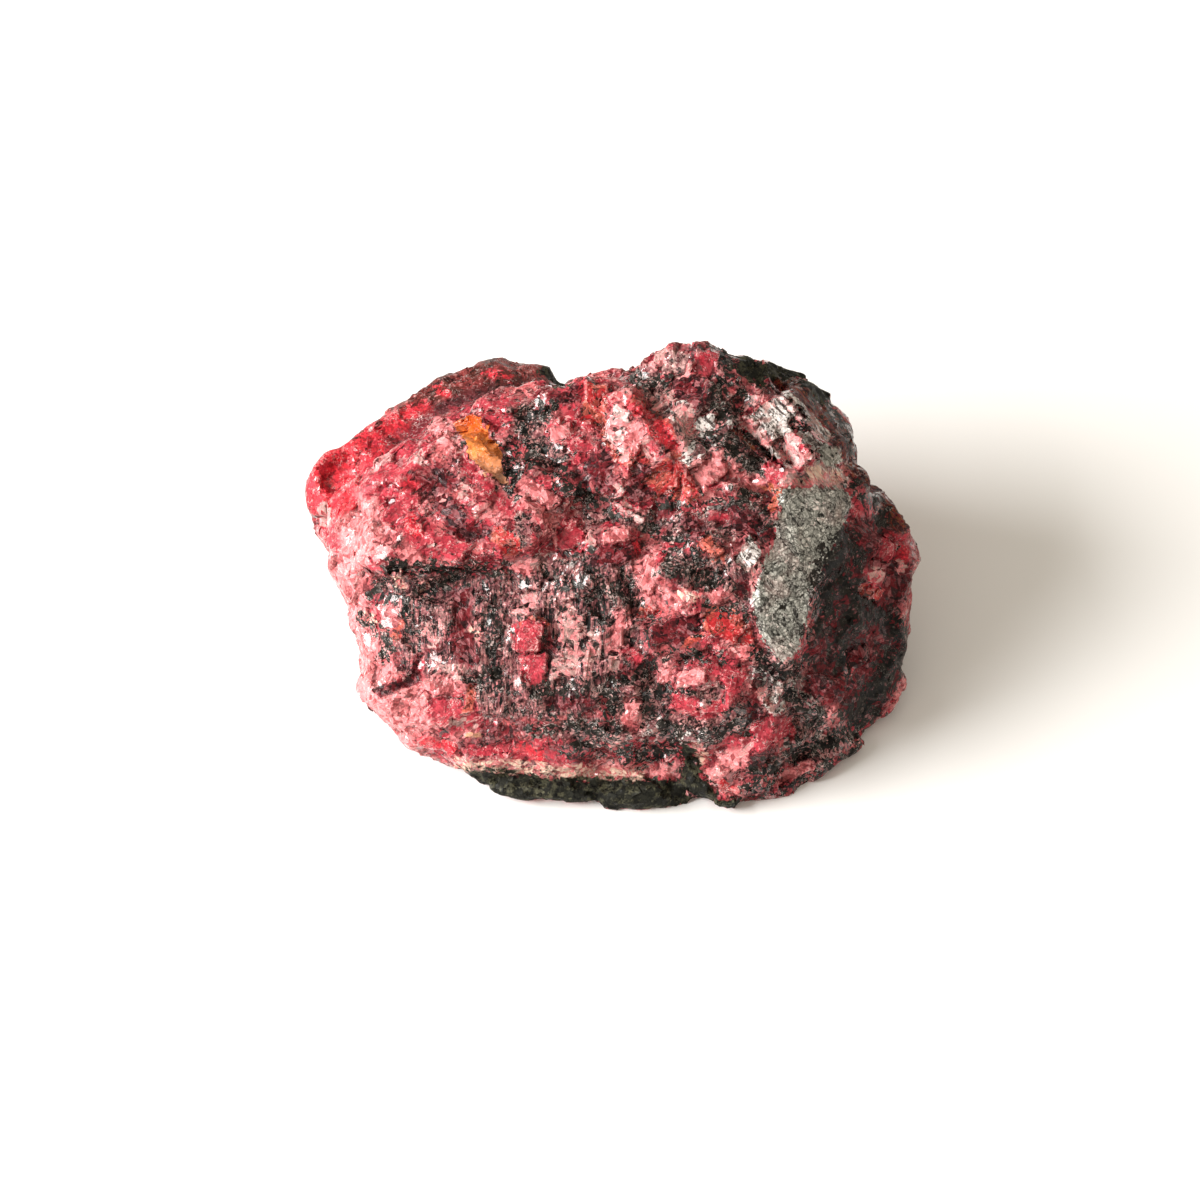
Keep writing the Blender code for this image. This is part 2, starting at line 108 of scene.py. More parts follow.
def seen(places):
    """Where the photograph's eye sees each place on the show face: across and up, and how far out it is."""
    offset = places - np.array(FACE_MIDDLE)
    out = offset @ OUT
    nearness = EYE_DISTANCE / (EYE_DISTANCE - out)
    return np.column_stack((offset @ ACROSS * nearness, offset @ UP * nearness)), out


def distance_to_line(spots, points):
    """How far each spot is from a line through the given points."""
    points = np.array(points, float)
    if len(points) == 1:
        return np.linalg.norm(spots - points[0], axis=1)
    nearest = np.full(len(spots), np.inf)
    for start, end in zip(points[:-1], points[1:]):
        along = end - start
        share = np.clip((spots - start) @ along / (along @ along), 0, 1)
        nearest = np.minimum(nearest, np.linalg.norm(spots - start - share[:, None] * along, axis=1))
    return nearest


def inside(spots, corners):
    """How far each spot is inside a polygon, below zero outside it."""
    corners = np.array(corners, float)
    within = np.zeros(len(spots), bool)
    for start, end in zip(corners, np.roll(corners, -1, axis=0)):
        crosses = (start[1] > spots[:, 1]) != (end[1] > spots[:, 1])
        slope = (end[0] - start[0]) / (end[1] - start[1]) if end[1] != start[1] else 0.0
        within ^= crosses & (spots[:, 0] < start[0] + slope * (spots[:, 1] - start[1]))
    edge = distance_to_line(spots, np.vstack((corners, corners[:1])))
    return np.where(within, edge, -edge)


# Outlines on the show face: the flat plate, the stained sliver, and the fibrous belly under the ledge.
PLATE = [
    (10.6, 5.9), (14.6, 5.9), (15.2, 5.1), (13.8, 1.6), (12.4, -1), (12.4, -2.1), (11.7, -4.4), (10.6, -5.1),
    (9.1, -3.1), (8.9, -0.7), (9.8, 1.6), (10.4, 4),
]
SLIVER = [
    (-10.3, 10.5), (-8.2, 10.4), (-7.5, 9.2), (-6.8, 8.2), (-6.8, 6.9), (-6.1, 5.7), (-6.9, 6.2), (-7.9, 7),
    (-8.9, 7.7), (-9.1, 8.6),
]
BELLY = [
    (-14, 0.6), (-9, 0.4), (-4, 0.9), (1.6, 1.4), (2, -4.6), (0.4, -6.4), (-2, -8.6), (-8.4, -8.6),
    (-8.6, -6.4), (-13.4, -5.6),
]


SKIN_AREA = 2900.0  # mm2
CHIP_PATTERN = 5  # starts the random draws
EDGE_WAVES = 1.7  # along a chip's edge
EDGE_WAVER = 0.4  # of a chip's size
STEEPEST = 0.5  # the least that a chip may face the way that the skin does


def chip(places, normals, size, tilt, step, keep):
    """Breaks the skin into small flat faces of about the given size, each leaning its own way."""
    picker = np.random.default_rng(CHIP_PATTERN)
    count = int(SKIN_AREA / size ** 2)
    middles = picker.choice(len(places), count, replace=False)
    facings = normals[middles] + picker.normal(0, tilt, (count, 3))
    facings /= np.linalg.norm(facings, axis=1)[:, None]
    lifts = picker.normal(0, step / 3, count)
    tree = KDTree(count)
    for number, middle in enumerate(middles):
        tree.insert(places[middle], number)
    tree.balance()
    owners = np.empty(len(places), int)
    for number, place in enumerate(places):
        spot = Vector(place) / size * EDGE_WAVES
        waver = Vector((noise.noise(spot), noise.noise(spot.yzx), noise.noise(spot.zxy)))
        owners[number] = tree.find(Vector(place) + waver * size * EDGE_WAVER)[1]
    facing = facings[owners]
    lift = np.einsum("ij,ij->i", facing, places[middles[owners]] - places)
    lift /= np.maximum(np.einsum("ij,ij->i", facing, normals), STEEPEST)
    lift = np.clip(lift + lifts[owners], -step, step)
    return places + normals * (lift * keep)[:, None]


# Cleavage faces large enough to be told apart, each where it lies on the show face: its middle, length
# and width, turn, rise to the right and upwards, how far it stands out, and its mineral.
CLEAVAGE_FACES = [
    ((10.9, 9.5), (4.4, 3.9), -45, (0.2, 0.16), 0.1, "silver"),
    ((9.1, 9.4), (2.7, 0.8), -43, (0.3, 0.05), 0.15, "pearl"),
    ((11.4, 10.7), (3, 0.5), -46, (0.3, 0.25), 0.35, "pearl"),
    ((12.7, 9.3), (2.4, 0.3), -44, (0.2, 0.2), 0.35, "pearl"),
    ((11.8, 9.8), (1.3, 0.6), -24, (0, 0), -0.2, "black"),
    ((10.9, 11.5), (3.6, 0.3), -45, (-0.2, 0), 0, "wine"),
    ((11.6, 8.2), (2.5, 1.75), -44, (0.35, 0), 0.2, "rose"),
    ((11.5, 8.2), (2.3, 1.6), -44, (0.35, 0), 0.3, "pearl"),
    ((12, 8.3), (0.9, 0.6), -44, (0.35, 0), 0.3, "rose"),
    ((13.6, 7.9), (1.5, 0.9), -50, (0.1, 0), 0, "plate_edge"),
    ((9.6, 8.2), (3.8, 0.35), -43, (-0.3, -0.3), -0.1, "black"),
    ((8.7, 8.6), (3.2, 0.4), -43, (0.1, 0), 0.05, "slate"),
    ((10.2, 7), (1.3, 1.2), 20, (0.3, -0.2), 0.2, "rose"),
    ((10.4, 5.2), (0.6, 1.7), -14, (0.4, 0), 0.1, "rust"),
    ((8.6, 1.7), (1.9, 1.3), 58, (0.3, -0.1), 0.1, "silver"),
    ((6.2, 2.2), (1.5, 0.8), -50, (0.2, -0.2), 0.2, "coral"),
    ((8.6, 3.6), (1.7, 1.1), -24, (-0.1, 0.15), 0.15, "wine"),
    ((5.9, 13.7), (1.5, 1.7), -6, (-0.15, 0.2), 0.15, "rose"),
    ((4.1, 13.8), (1.5, 1.5), -14, (0.3, 0.1), 0.1, "veined"),
    ((4.9, 12.1), (1.8, 1.2), 10, (0, -0.3), -0.1, "wine"),
    ((0.4, 9.8), (2.4, 1.2), 72, (0.3, 0.1), 0.15, "pearl"),
    ((1.6, 9.3), (2.2, 1.2), 66, (0.2, -0.2), 0.15, "salmon"),
    ((2.8, 9.6), (3.4, 0.9), -48, (-0.35, -0.1), 0.15, "crimson"),
    ((-1, 11.2), (2.6, 1.5), 84, (-0.1, 0.1), 0.1, "coral"),
    ((6.1, 6.9), (2.1, 1.5), 34, (0.25, 0.05), 0.2, "salmon"),
    ((-0.5, 7.3), (1.8, 1.2), 52, (0, -0.2), 0.1, "wine"),
    ((3.2, 6.3), (2, 1.1), -10, (0.2, -0.1), 0.1, "coral"),
    ((-4.5, 5.6), (2.8, 0.9), -32, (0.1, -0.35), 0.2, "salmon"),
    ((-2.6, 2.9), (1.7, 1.5), 30, (0.2, -0.1), 0.2, "rose"),
    ((-3.2, 9.3), (1.5, 1), 20, (0.2, 0.1), 0.1, "salmon"),
    ((-1.9, 8.5), (1.3, 0.9), -30, (0.1, 0.2), 0.1, "rose"),
    ((5.9, 9.9), (1.4, 1), 10, (0.15, 0.1), 0.1, "silver"),
    ((6.8, 4), (1.4, 0.8), -10, (0.1, 0.2), 0.1, "rose"),
    ((1.1, 4.3), (2.2, 0.5), -32, (0.2, 0.2), 0.15, "pearl"),
    ((0.5, 5.5), (0.8, 0.5), 50, (0.2, 0.2), 0.15, "pearl"),
    ((1.8, 5.6), (1.3, 1.3), -50, (-0.2, 0), 0, "wine"),
    ((-5.6, 0.9), (1.4, 0.6), -16, (0.2, 0.2), 0.1, "salmon"),
    ((10.3, -6.9), (0.8, 1.6), -10, (0.3, 0), 0.1, "silver"),
    ((0.3, 2.9), (1.9, 0.9), 10, (0.1, -0.3), 0.15, "salmon"),
    ((0.4, 1.7), (2.3, 1), 12, (0, 0.3), 0.15, "wine"),
    ((-5, -3.4), (1.5, 2.1), 0, (0.15, 0), 0.15, "rose"),
    ((-4.8, -5.4), (1.4, 1.8), 2, (0.15, 0.1), 0.15, "rose"),
    ((-3.8, -3.9), (0.7, 1.3), -6, (-0.1, 0), -0.1, "wine"),
    ((-2.4, -2.9), (1.3, 2), -4, (0.1, 0), 0.1, "frost"),
    ((-2.9, -5.3), (1.7, 1.3), 6, (0.1, 0.1), 0.1, "frost"),
    ((7, -2.8), (2.6, 1.4), -20, (0, -0.15), 0.15, "coral"),
    ((4, -3), (3.2, 1.3), 16, (-0.1, -0.1), -0.05, "wine"),
    ((6.5, -0.9), (1, 0.8), -40, (0.2, 0), 0.15, "salmon"),
    ((-13.3, -6.4), (2.9, 0.7), 22, (-0.2, 0.4), 0, "wine"),
    ((-12.2, -5.2), (0.5, 1.5), -8, (-0.3, 0), 0, "wine"),
    ((-10.3, -7.9), (2.2, 1.3), 4, (0.2, -0.1), 0.15, "rose"),
    ((-8.8, -7.3), (0.7, 1.9), 0, (-0.3, 0), 0.1, "coral"),
    ((-9.3, -3.8), (1.5, 1.2), 0, (0, 0), 0.05, "wine"),
    ((5, -6), (1.9, 1.1), 12, (0.2, -0.1), 0.15, "salmon"),
    ((7.8, -6.6), (2.4, 0.5), 66, (-0.35, 0), 0.15, "rose"),
    ((3.4, -5.8), (0.9, 0.9), 10, (0.2, 0), 0.1, "salmon"),
    ((4.6, -7.6), (1.8, 1), -8, (0.1, 0.2), 0.1, "rose"),
    ((9.6, -9.4), (1.5, 1.9), 30, (0.2, 0), 0.2, "rose"),
    ((13, -6.5), (1.2, 1.5), -36, (0.3, 0.1), 0.1, "wine"),
    ((-9.9, 2.3), (2.1, 1.1), -24, (0.1, 0.1), 0.15, "rose"),
    ((-13.1, 4.6), (1.3, 2.6), -32, (0.1, 0.1), 0.1, "rose"),
    ((-12.9, 8.2), (1.6, 1), 30, (0.1, 0.2), 0.1, "rose"),
    ((17.3, 2.1), (1.2, 1.8), -16, (-0.1, 0.1), 0.05, "rose"),
    ((16.2, -0.6), (1.5, 0.9), -20, (0.1, 0), 0.1, "coral"),
    ((15.4, -4.6), (1.4, 1.1), 20, (0.1, 0.1), 0.1, "wine"),
    ((-7.4, 11.1), (1.7, 0.8), -4, (0.1, 0.2), 0.1, "rose"),
    ((-7.6, 10.2), (2, 0.6), -30, (0.1, 0.3), 0.05, "rose"),
    ((-8.8, 9.4), (2.9, 1.6), -50, (-0.05, 0.05), 0.1, "orange"),
    ((-7.5, 7.6), (1.9, 1.2), -50, (-0.05, 0.05), 0.1, "orange"),
    ((-10.4, 9.2), (2.4, 1.2), -52, (0.25, 0.05), 0.15, "salmon"),
    # the groove under the ledge, painted black as the ledge's shadow
    ((-10.8, 0.72), (6.2, 0.34), 1, (0, -0.4), -0.3, "black"),
    ((2.4, 0.5), (0.7, 2.4), 2, (0.2, 0), 0.15, "salmon"),
    ((0.4, -3.3), (0.8, 2.2), 0, (0.15, 0), 0.1, "salmon"),
    ((1.4, -4.5), (1.5, 0.6), -30, (0.1, 0.2), 0.15, "rose"),
    ((1.3, -8.2), (0.9, 1.7), -10, (0.1, 0.1), 0.15, "salmon"),
    ((-7.6, -10.5), (3.2, 0.8), 8, (0, 0.1), 0.05, "rose"),
    ((11.4, -11.9), (2.4, 0.8), 26, (0, 0.3), 0.15, "salmon"),
]


def face_depth(spots, middle, size, turn):
    """How far each spot is inside one of the cleavage faces, below zero outside it."""
    turn = math.radians(turn)
    aside = spots - np.array(middle)
    along = aside @ np.array((math.cos(turn), math.sin(turn)))
    across = aside @ np.array((-math.sin(turn), math.cos(turn)))
    return np.minimum(size[0] / 2 - np.abs(along - 0.2 * across), size[1] / 2 - np.abs(across))


WAVE_LENGTH = 0.5  # mm, of the unevenness of their edges
WAVE_REACH = 0.2  # mm
FACES_OUT = 0.35  # how far a corner has to face the viewer to lie on one
FACE_DEPTH = 1.2  # mm, to either side of its level
DEEPEST_CUT = 0.4  # mm


def wavered(places, spots):
    """The spots moved a little, so that the edges of what is laid out on them aren't straight."""
    moves = np.empty((len(places), 2))
    for number, place in enumerate(places):
        spot = Vector(place) / WAVE_LENGTH
        moves[number] = noise.noise(spot), noise.noise(spot.yzx)
    return spots + moves * WAVE_REACH


def flatten_faces(places, normals):
    """Breaks the skin flat inside each of the cleavage faces, and tells which corners lie in one."""
    spots, out = seen(places)
    uneven = wavered(places, spots)
    on_face = np.zeros(len(places), bool)
    for middle, size, turn, rise, lift, mineral in CLEAVAGE_FACES:
        within = (face_depth(uneven, middle, size, turn) > 0) & (normals @ OUT > FACES_OUT)
        level = np.median(out[within])
        within &= np.abs(out - level) < FACE_DEPTH
        flat = level + lift + (spots[within] - np.array(middle)) @ np.array(rise)
        places[within] += np.clip(flat - out[within], -DEEPEST_CUT, DEEPEST_CUT)[:, None] * OUT
        on_face |= within
    return places, on_face


FLANK_START = 11.0  # mm across the show face


def worn_smooth(spots, out):
    """How far the breaks are worn smooth: on the right flank and on the lobe behind."""
    flank = np.clip((spots[:, 0] - FLANK_START) / 2.5, 0, 1)
    lobe = np.clip((LOBE_DEPTH - out) / 1.5, 0, 1) * np.clip(spots[:, 1] - 4.0, 0, 1) * (spots[:, 0] < 0)
    return np.maximum(flank, lobe)


places = corners_of_skin("co") / MM
spots, out = seen(places)
plate = np.clip(inside(spots, PLATE) / 0.3, 0, 1) * (corners_of_skin("normal") @ OUT > 0.3)
rough = 1 - 0.5 * worn_smooth(spots, out)
places = chip(places, corners_of_skin("normal"), size=1.5, tilt=0.13, step=0.16, keep=(1 - plate) * rough)
move_corners(places)
places, on_face = flatten_faces(places, corners_of_skin("normal"))
move_corners(places)
sound = 1 - 0.85 * np.maximum(plate, on_face)
places = chip(places, corners_of_skin("normal"), size=0.6, tilt=0.11, step=0.04, keep=sound * rough)
places[:, 2] = np.maximum(places[:, 2], 0)
move_corners(places)


# Cleavage grains: splinters and small blocks of the same stone that stand half out of its breaks.
# Each is a sheared block with flat faces, as rhodonite cleaves.
GRAIN_COUNT = 1500
GRAIN_PATTERN = 8
GRAIN_SIZE = (0.3, 0.5)  # mm, the usual width and length
GRAIN_HEIGHT = (0.12, 0.28)  # mm, the least and the most
GRAIN_SINK = (0.32, 0.46)  # of its height
FIBRE_SIZE = (0.15, 0.9)  # mm, on the belly, where they run upwards
TOP_SHEAR = (0.16, -0.1, 0)  # of its width and length
TOP_SIZE = (0.8, 0.7, 1)  # of its foot

skin_places = corners_of_skin("co") / MM
skin_normals = corners_of_skin("normal")
spots, out = seen(skin_places)
plate = inside(spots, PLATE) > -0.1
belly = inside(spots, BELLY) > 0

bpy.ops.object.select_all(action="DESELECT")
bpy.ops.mesh.primitive_cube_add(size=1)
grain = bpy.context.object
bpy.ops.object.mode_set(mode="EDIT")
bpy.ops.mesh.select_all(action="DESELECT")
bpy.ops.object.mode_set(mode="OBJECT")
for vertex in grain.data.vertices:
    vertex.select = vertex.co.z > 0
bpy.ops.object.mode_set(mode="EDIT")
bpy.ops.transform.translate(value=TOP_SHEAR)
bpy.ops.transform.resize(value=TOP_SIZE)
bpy.ops.object.mode_set(mode="OBJECT")
corners = np.array([vertex.co for vertex in grain.data.vertices])
sides = np.array([list(face.vertices) for face in grain.data.polygons])
bpy.data.objects.remove(grain)

picker = np.random.default_rng(GRAIN_PATTERN)
free = np.flatnonzero(~(plate & (skin_normals @ OUT > 0)) & ~on_face & (skin_places[:, 2] > 0.9))
chances = 1 - 0.75 * worn_smooth(spots, out)[free]
roots = picker.choice(free, GRAIN_COUNT, replace=False, p=chances / chances.sum())
grain_corners = []
for root in roots:
    normal = Vector(skin_normals[root])
    on_belly = belly[root] and skin_normals[root] @ OUT > 0
    usual_width, usual_length = FIBRE_SIZE if on_belly else GRAIN_SIZE
    length = picker.lognormal(math.log(usual_length), 0.4)
    width = picker.lognormal(math.log(usual_width), 0.35)
    height = picker.uniform(*GRAIN_HEIGHT)
    along = Vector(UP) if on_belly else Vector(picker.normal(0, 1, 3))
    along = along + Vector(picker.normal(0, 0.12, 3))
    normal = (normal + Vector(picker.normal(0, 0.16, 3))).normalized()
    across = normal.cross(along).normalized()
    along = across.cross(normal).normalized()
    block = corners * (width, length, height)
    turn = np.array([across, along, normal])
    sink = height * picker.uniform(*GRAIN_SINK)
    grain_corners.append(block @ turn + skin_places[root] - np.array(normal) * sink)

grain_corners = np.concatenate(grain_corners)
grain_corners[:, 2] = np.maximum(grain_corners[:, 2], 0)
grain_sides = (sides[None] + len(corners) * np.arange(len(roots))[:, None, None]).reshape(-1, 4)
grains = bpy.data.meshes.new("cleavage_grains")
grains.from_pydata((grain_corners * MM).tolist(), [], grain_sides.tolist())
grain_object = bpy.data.objects.new("cleavage_grains", grains)
add_to_scene(grain_object)
bpy.ops.object.select_all(action="DESELECT")
grain_object.select_set(True)
stone.select_set(True)
bpy.context.view_layer.objects.active = stone
bpy.ops.object.join()
bpy.ops.object.shade_smooth_by_angle(angle=math.radians(28))


# The minerals: pink to wine-red rhodonite, paler frosted and silvery cleavage faces, an orange-stained
# sliver, a grey-green plate, and black manganese oxide in veins and a crust underneath. Some marks paint
# light and shade: black as painted shadow in the groove under the ledge, wine as painted shade in the
# hollow of the left face, smoky red-brown (partly painted shade) and dark wine painted shade on the lobe
# behind the front block, and a painted highlight along that block's top edge.
# Each mark is half a width and then the points of a line across the show face, in millimetres.
MINERAL_AND_LIGHT_MARKS = {
    "salmon": [
        (1.5, (-17, 5.6), (-16.6, 2.6), (-16.9, -0.4), (-15.9, -4)),
        (1.7, (-15.2, -5.4), (-14.4, -8.4), (-12.6, -9.8)), (1, (-14.6, 4.6), (-14.8, 2.4)),
        (0.8, (-9.4, 9.6), (-10.6, 9.6)), (0.55, (-9.6, 8.6), (-8.2, 6.8), (-6.4, 5.2)),
        (0.7, (-7.6, 4.6), (-6.8, 4.4)), (0.6, (-12.6, 1.6), (-10.4, 1.8)), (0.5, (-6.2, 1.4), (-5, 0.9)),
        (0.7, (-5.4, 5.4), (-4.2, 4.6), (-3, 3)), (0.8, (0.2, 10.4), (0.6, 9.4), (1.8, 9.6)),
        (0.9, (7.6, 6.6), (6.2, 7.2), (6, 5.8)), (0.4, (8.2, 6), (9.2, 6.2)), (0.4, (12.2, 7.2), (13.6, 6.9)),
        (0.65, (2.3, 1.6), (2.2, 0), (2.6, -1.4)), (0.5, (3.6, -0.6), (4.6, -1.4)),
        (0.6, (0.6, -2.4), (0.4, -3.8)), (0.5, (6.4, -1), (7.2, -0.9)), (0.5, (-13.9, -1.8), (-13.4, -2.6)),
        (0.6, (-10.4, -6.2), (-11.4, -6.6), (-9.6, -6.6)), (0.9, (-12.4, -7.2), (-11.6, -9)),
        (0.4, (-8.6, -9.2), (-9.8, -9.4)), (0.3, (-8.8, -11.3), (-5.8, -11.3)),
        (0.55, (-3, -11.4), (0.2, -11.6), (2.2, -11.9), (4, -11.7)),
        (0.6, (8, -10.7), (6.6, -12), (6.2, -13)), (0.5, (3.4, -5.8)), (0.55, (1.3, -7.6), (1.4, -8.6)),
        (0.35, (7.4, -3.8), (8.4, -4.2)), (0.3, (17.6, -7.6), (18.4, -6)), (0.4, (14.4, -8), (13.6, -8.6)),
    ],
    "mottle": [
        (1.1, (-6, 10.6), (-4.6, 9.4), (-3.6, 8)), (1.1, (-4.4, 0.4), (-2, 0.8), (0.6, -0.4), (1.2, -1.4)),
        (0.7, (-3.4, -1.4), (-0.4, -1.6)), (0.9, (4, 3.2), (7, 3.6), (9.4, 4.2)),
        (1.2, (4.2, 0.8), (7.6, 0.6), (8, -0.8)), (1, (-1, -5), (0.2, -6), (0.6, -7.6)),
        (1, (2, -6.2), (3.2, -7.6), (2.4, -9), (5.8, -9.2), (8.4, -8.4)), (0.8, (5.8, -7), (6.8, -7.2)),
        (1.3, (5.8, 11.6), (6.8, 10.2), (8, 8.6), (9, 7.6)), (0.8, (3.6, 10.8), (4.8, 9), (5.2, 8)),
        (0.9, (2.6, 12.4), (3.4, 11.6)), (1.4, (10, -5.6), (11.6, -7), (12.4, -8.6)),
        (0.6, (-14.2, -0.2), (-12.4, 0), (-9, 0.2)), (0.4, (-14.2, -3.4), (-14.4, -4.6)),
        (0.9, (10.4, -11.4), (13.6, -10.4)), (0.7, (-3, -9.2), (0.8, -9.4)), (0.4, (-7, 6), (-5.4, 5.4)),
        (0.6, (-1.6, 4), (0.4, 4), (2.6, 3.6)), (0.7, (-6, 2.4), (-5.4, 3.8)),
    ],
    "glitter": [
        (1, (4.6, 10.8), (6, 9.6), (5.2, 8.2)), (0.7, (6.8, 10.8), (7.6, 9.4)),
        (0.8, (0.4, -0.2), (1.2, -1.6)), (0.7, (9.6, -5.8), (10.2, -7.6)), (0.7, (-2.2, 0.8), (-1, -0.4)),
        (0.35, (6.2, 4.5), (8.6, 4.9)), (0.5, (-0.6, -6.6), (0.2, -5.4)), (0.45, (-6.6, -2.6), (-6.4, -5.2)),
        (0.3, (-9.8, -6), (-8.6, -6.2)), (0.5, (11.4, -6.4), (13, -8.6)),
        (0.5, (2.6, -9), (4, -9.6), (6, -9.8)), (0.5, (-12.4, -1.4), (-12.2, -3)),
    ],
    "lobe_shade": [(0.5, (-13.6, 8.6), (-11.8, 10), (-10, 11.1), (-8.2, 11.9), (-5.6, 12.1), (-3.6, 12))],
    "ridge_highlight": [(0.35, (-16.6, 6.9), (-14.2, 7.6), (-12.2, 9), (-10.3, 10.3))],
    "slate": [
        (0.8, (10.8, 12.6), (12.6, 11.2), (14.2, 9.6), (14.9, 8.4)),
        (0.7, (15.2, 7.6), (16.2, 6.2), (17.3, 4.9), (18.3, 3.8)),
    ],
    "plate_edge": [(0.4, (13.4, 7.6), (14, 7.8))],
    "veined": [(0.3, (3.2, 14.2), (3.4, 13))],
    "silver": [(0.15, (9.9, 8.6), (11, 7.6)), (0.4, (13.6, 7), (14.4, 6.4))],
    "pearl": [(0.25, (-0.2, 9.6), (0.6, 8.6))],
    "rust": [(0.2, (9.2, 5.8), (10.4, 5.9))],
    "rose": [
        (0.5, (-9.4, -10.9), (-6.6, -10.7), (-3.6, -10.9), (-1.6, -11.2)),
        (1, (-15, 6.4), (-13.2, 7.4), (-11.6, 9.2)), (0.9, (-13.6, 5.2), (-12.8, 4.2), (-12.2, 3.2)),
        (0.8, (-11.4, 2.2), (-9.6, 2.2)), (0.5, (-10.2, 9.2), (-9.6, 8.4)), (1, (-18.6, 7.2), (-17.8, 6)),
        (0.7, (-13.4, 9.4), (-12, 10.8)), (0.4, (-17.7, 3.6), (-17.3, 2.4)),
        (0.5, (-9, 7.6), (-7.8, 5.8), (-6.4, 4.6)), (0.5, (-7.6, 11.1), (-6.2, 11.2)),
        (0.5, (-7.2, 9.8), (-6.6, 10.2)), (0.8, (-2, 10.4), (-1, 10.4), (-0.6, 11.8)),
        (0.5, (-4.6, 6.2), (-3.6, 5.6)), (0.6, (-3.4, 9.4), (-2.2, 8.8)), (0.7, (-2.6, 3.4), (-2.2, 2.6)),
        (0.6, (0, 3.2), (1.4, 2.6), (0.4, 2.2)), (0.7, (6.6, 6.4)), (0.6, (10, 7.1), (10.4, 6.6)),
        (0.5, (12, 8.2), (12.4, 8)), (0.8, (-5.4, -3.2), (-4.8, -4.4), (-4.8, -5.8)),
        (0.75, (-10.8, -8), (-9.4, -7.6), (-8.8, -8.4)), (0.4, (-12, -5.2), (-12.2, -6)),
        (0.35, (-10.4, -9.2), (-8.4, -8.8)), (0.4, (-11.2, -10.3), (-10, -10.4)),
        (0.45, (-4.8, -10.2), (-3.2, -10.6)), (0.4, (4.8, -5.6), (6.4, -5.4), (7.8, -5.8)),
        (0.35, (7.6, -6.4), (7.2, -7.8), (6, -8.2)), (0.4, (4.6, -7.8), (5.4, -8.2)),
        (0.65, (9, -9.8), (10, -9.2), (10.8, -9.2)), (0.5, (10.8, -12), (12.2, -11.7)),
        (0.7, (17.4, 2.6), (18.2, 2.4)), (0.5, (18.3, 1.4), (18.5, 0)), (0.8, (16.2, 0.2), (16.8, -0.6)),
        (0.4, (15.4, -4.8)), (0.35, (0.8, -4.4), (1.8, -4.8)), (0.4, (7.4, -9.8), (8.4, -10.2)),
    ],
    "crimson": [
        (1.8, (-19.4, 7.4), (-17.4, 7), (-17.6, 5.6)), (1, (-17, 7.6), (-14.6, 8.8), (-13.2, 9.8)),
        (0.45, (-12.6, 10.6), (-11.6, 10.8)), (0.2, (-10.8, 12.1), (-10.2, 11.7)),
        (0.2, (-7.8, 13.1), (-6.4, 12.8)), (0.35, (1.2, 10.9), (2.4, 10.4), (4, 8.6)),
        (0.6, (-1.4, 12.2), (-1, 10.8)), (0.5, (-12.6, 6), (-12.8, 4.4), (-12.2, 3.2)),
        (0.3, (4.6, 5.3), (5.6, 5.6)), (0.6, (-10.6, -8), (-10, -7.8)), (0.2, (-7, 8.6), (-6.6, 8.3)),
        (0.3, (0.6, 1.9), (1.6, 2.2)), (0.4, (17.6, 2.6), (18.2, 1.6)), (0.3, (5, -2.6), (6.6, -2.3)),
        (0.3, (-12, -9.9), (-10, -10.3)), (0.4, (-5.6, -10.4), (-4.4, -10.9)),
    ],
    "smoky_shade": [(1.6, (-16.4, 9.4), (-13.8, 11), (-11.6, 12.6), (-8.4, 13.6), (-5, 13.2))],
    "coral": [
        (0.55, (1.6, 11.2), (2.6, 10.2), (3.4, 9.2), (4, 8.4)), (0.9, (2.6, 6.2), (3.8, 6.6), (4.8, 5.6)),
        (0.6, (0.4, 8), (2.2, 7.6)), (0.5, (6, 2.4), (6.6, 1.7)),
        (0.75, (6.4, -2.4), (7.6, -2.6), (8.2, -3.2)), (0.3, (2, -1.9), (2.9, -1.9)),
        (0.6, (-7, 2.8), (-6.2, 2.2)), (0.3, (-7.2, 8.6), (-6.6, 8.4)), (0.3, (-13.6, -3.4), (-13, -2.4)),
        (0.4, (-4.4, -2.6), (-5.2, -2.6)), (0.35, (-0.6, 10.2), (-0.2, 8.6)), (0.4, (5.2, -3.4), (4.6, -3.8)),
        (0.35, (7.2, -12.6)),
    ],
    "wine": [
        # The first line lies in the hollow of the left face: wine-red stone, darker as painted shade.
        (0.65, (-12.4, 6.2), (-11, 5.8), (-10, 4.6), (-9.4, 3.4)), (0.5, (-9, 3), (-8, 3.2)),
        (0.5, (-10.8, 7), (-10, 6)), (0.25, (-12.2, 8.4), (-13.2, 7.6)),
        (0.35, (-12.6, 12.4), (-10.4, 13.4), (-7.6, 14.2)), (0.3, (-10.8, 10.9), (-9, 11.7), (-7.4, 12)),
        (0.75, (-1, 7.4), (-0.4, 6.2)), (0.45, (-2.2, 6.6), (-1.6, 6.2)), (0.45, (1.6, 6.4), (2.2, 7.2)),
        (0.5, (-3, 11.6), (-1.8, 12)), (0.85, (4.2, 12.8), (5.2, 12), (5.6, 11.6)),
        (0.75, (5.4, 14.1), (6.1, 13.6)), (0.5, (-1.2, 1.2), (0.2, 1.6), (1.8, 2.2)),
        (0.6, (5, 3.6), (5.4, 3.2)), (0.6, (7.6, 3.8), (8.8, 3.6), (9.8, 3)), (0.4, (7.2, 4.4), (8.2, 4.6)),
        (0.6, (-9.4, -0.8), (-9.3, -2.6)), (0.7, (-9.6, -3.8), (-8.9, -4.6)), (0.4, (-11.2, -4.2)),
        (0.25, (-13.4, -4.6), (-13.2, -5.4)), (0.2, (-14.4, -6.8), (-13.2, -6.5), (-12.3, -6)),
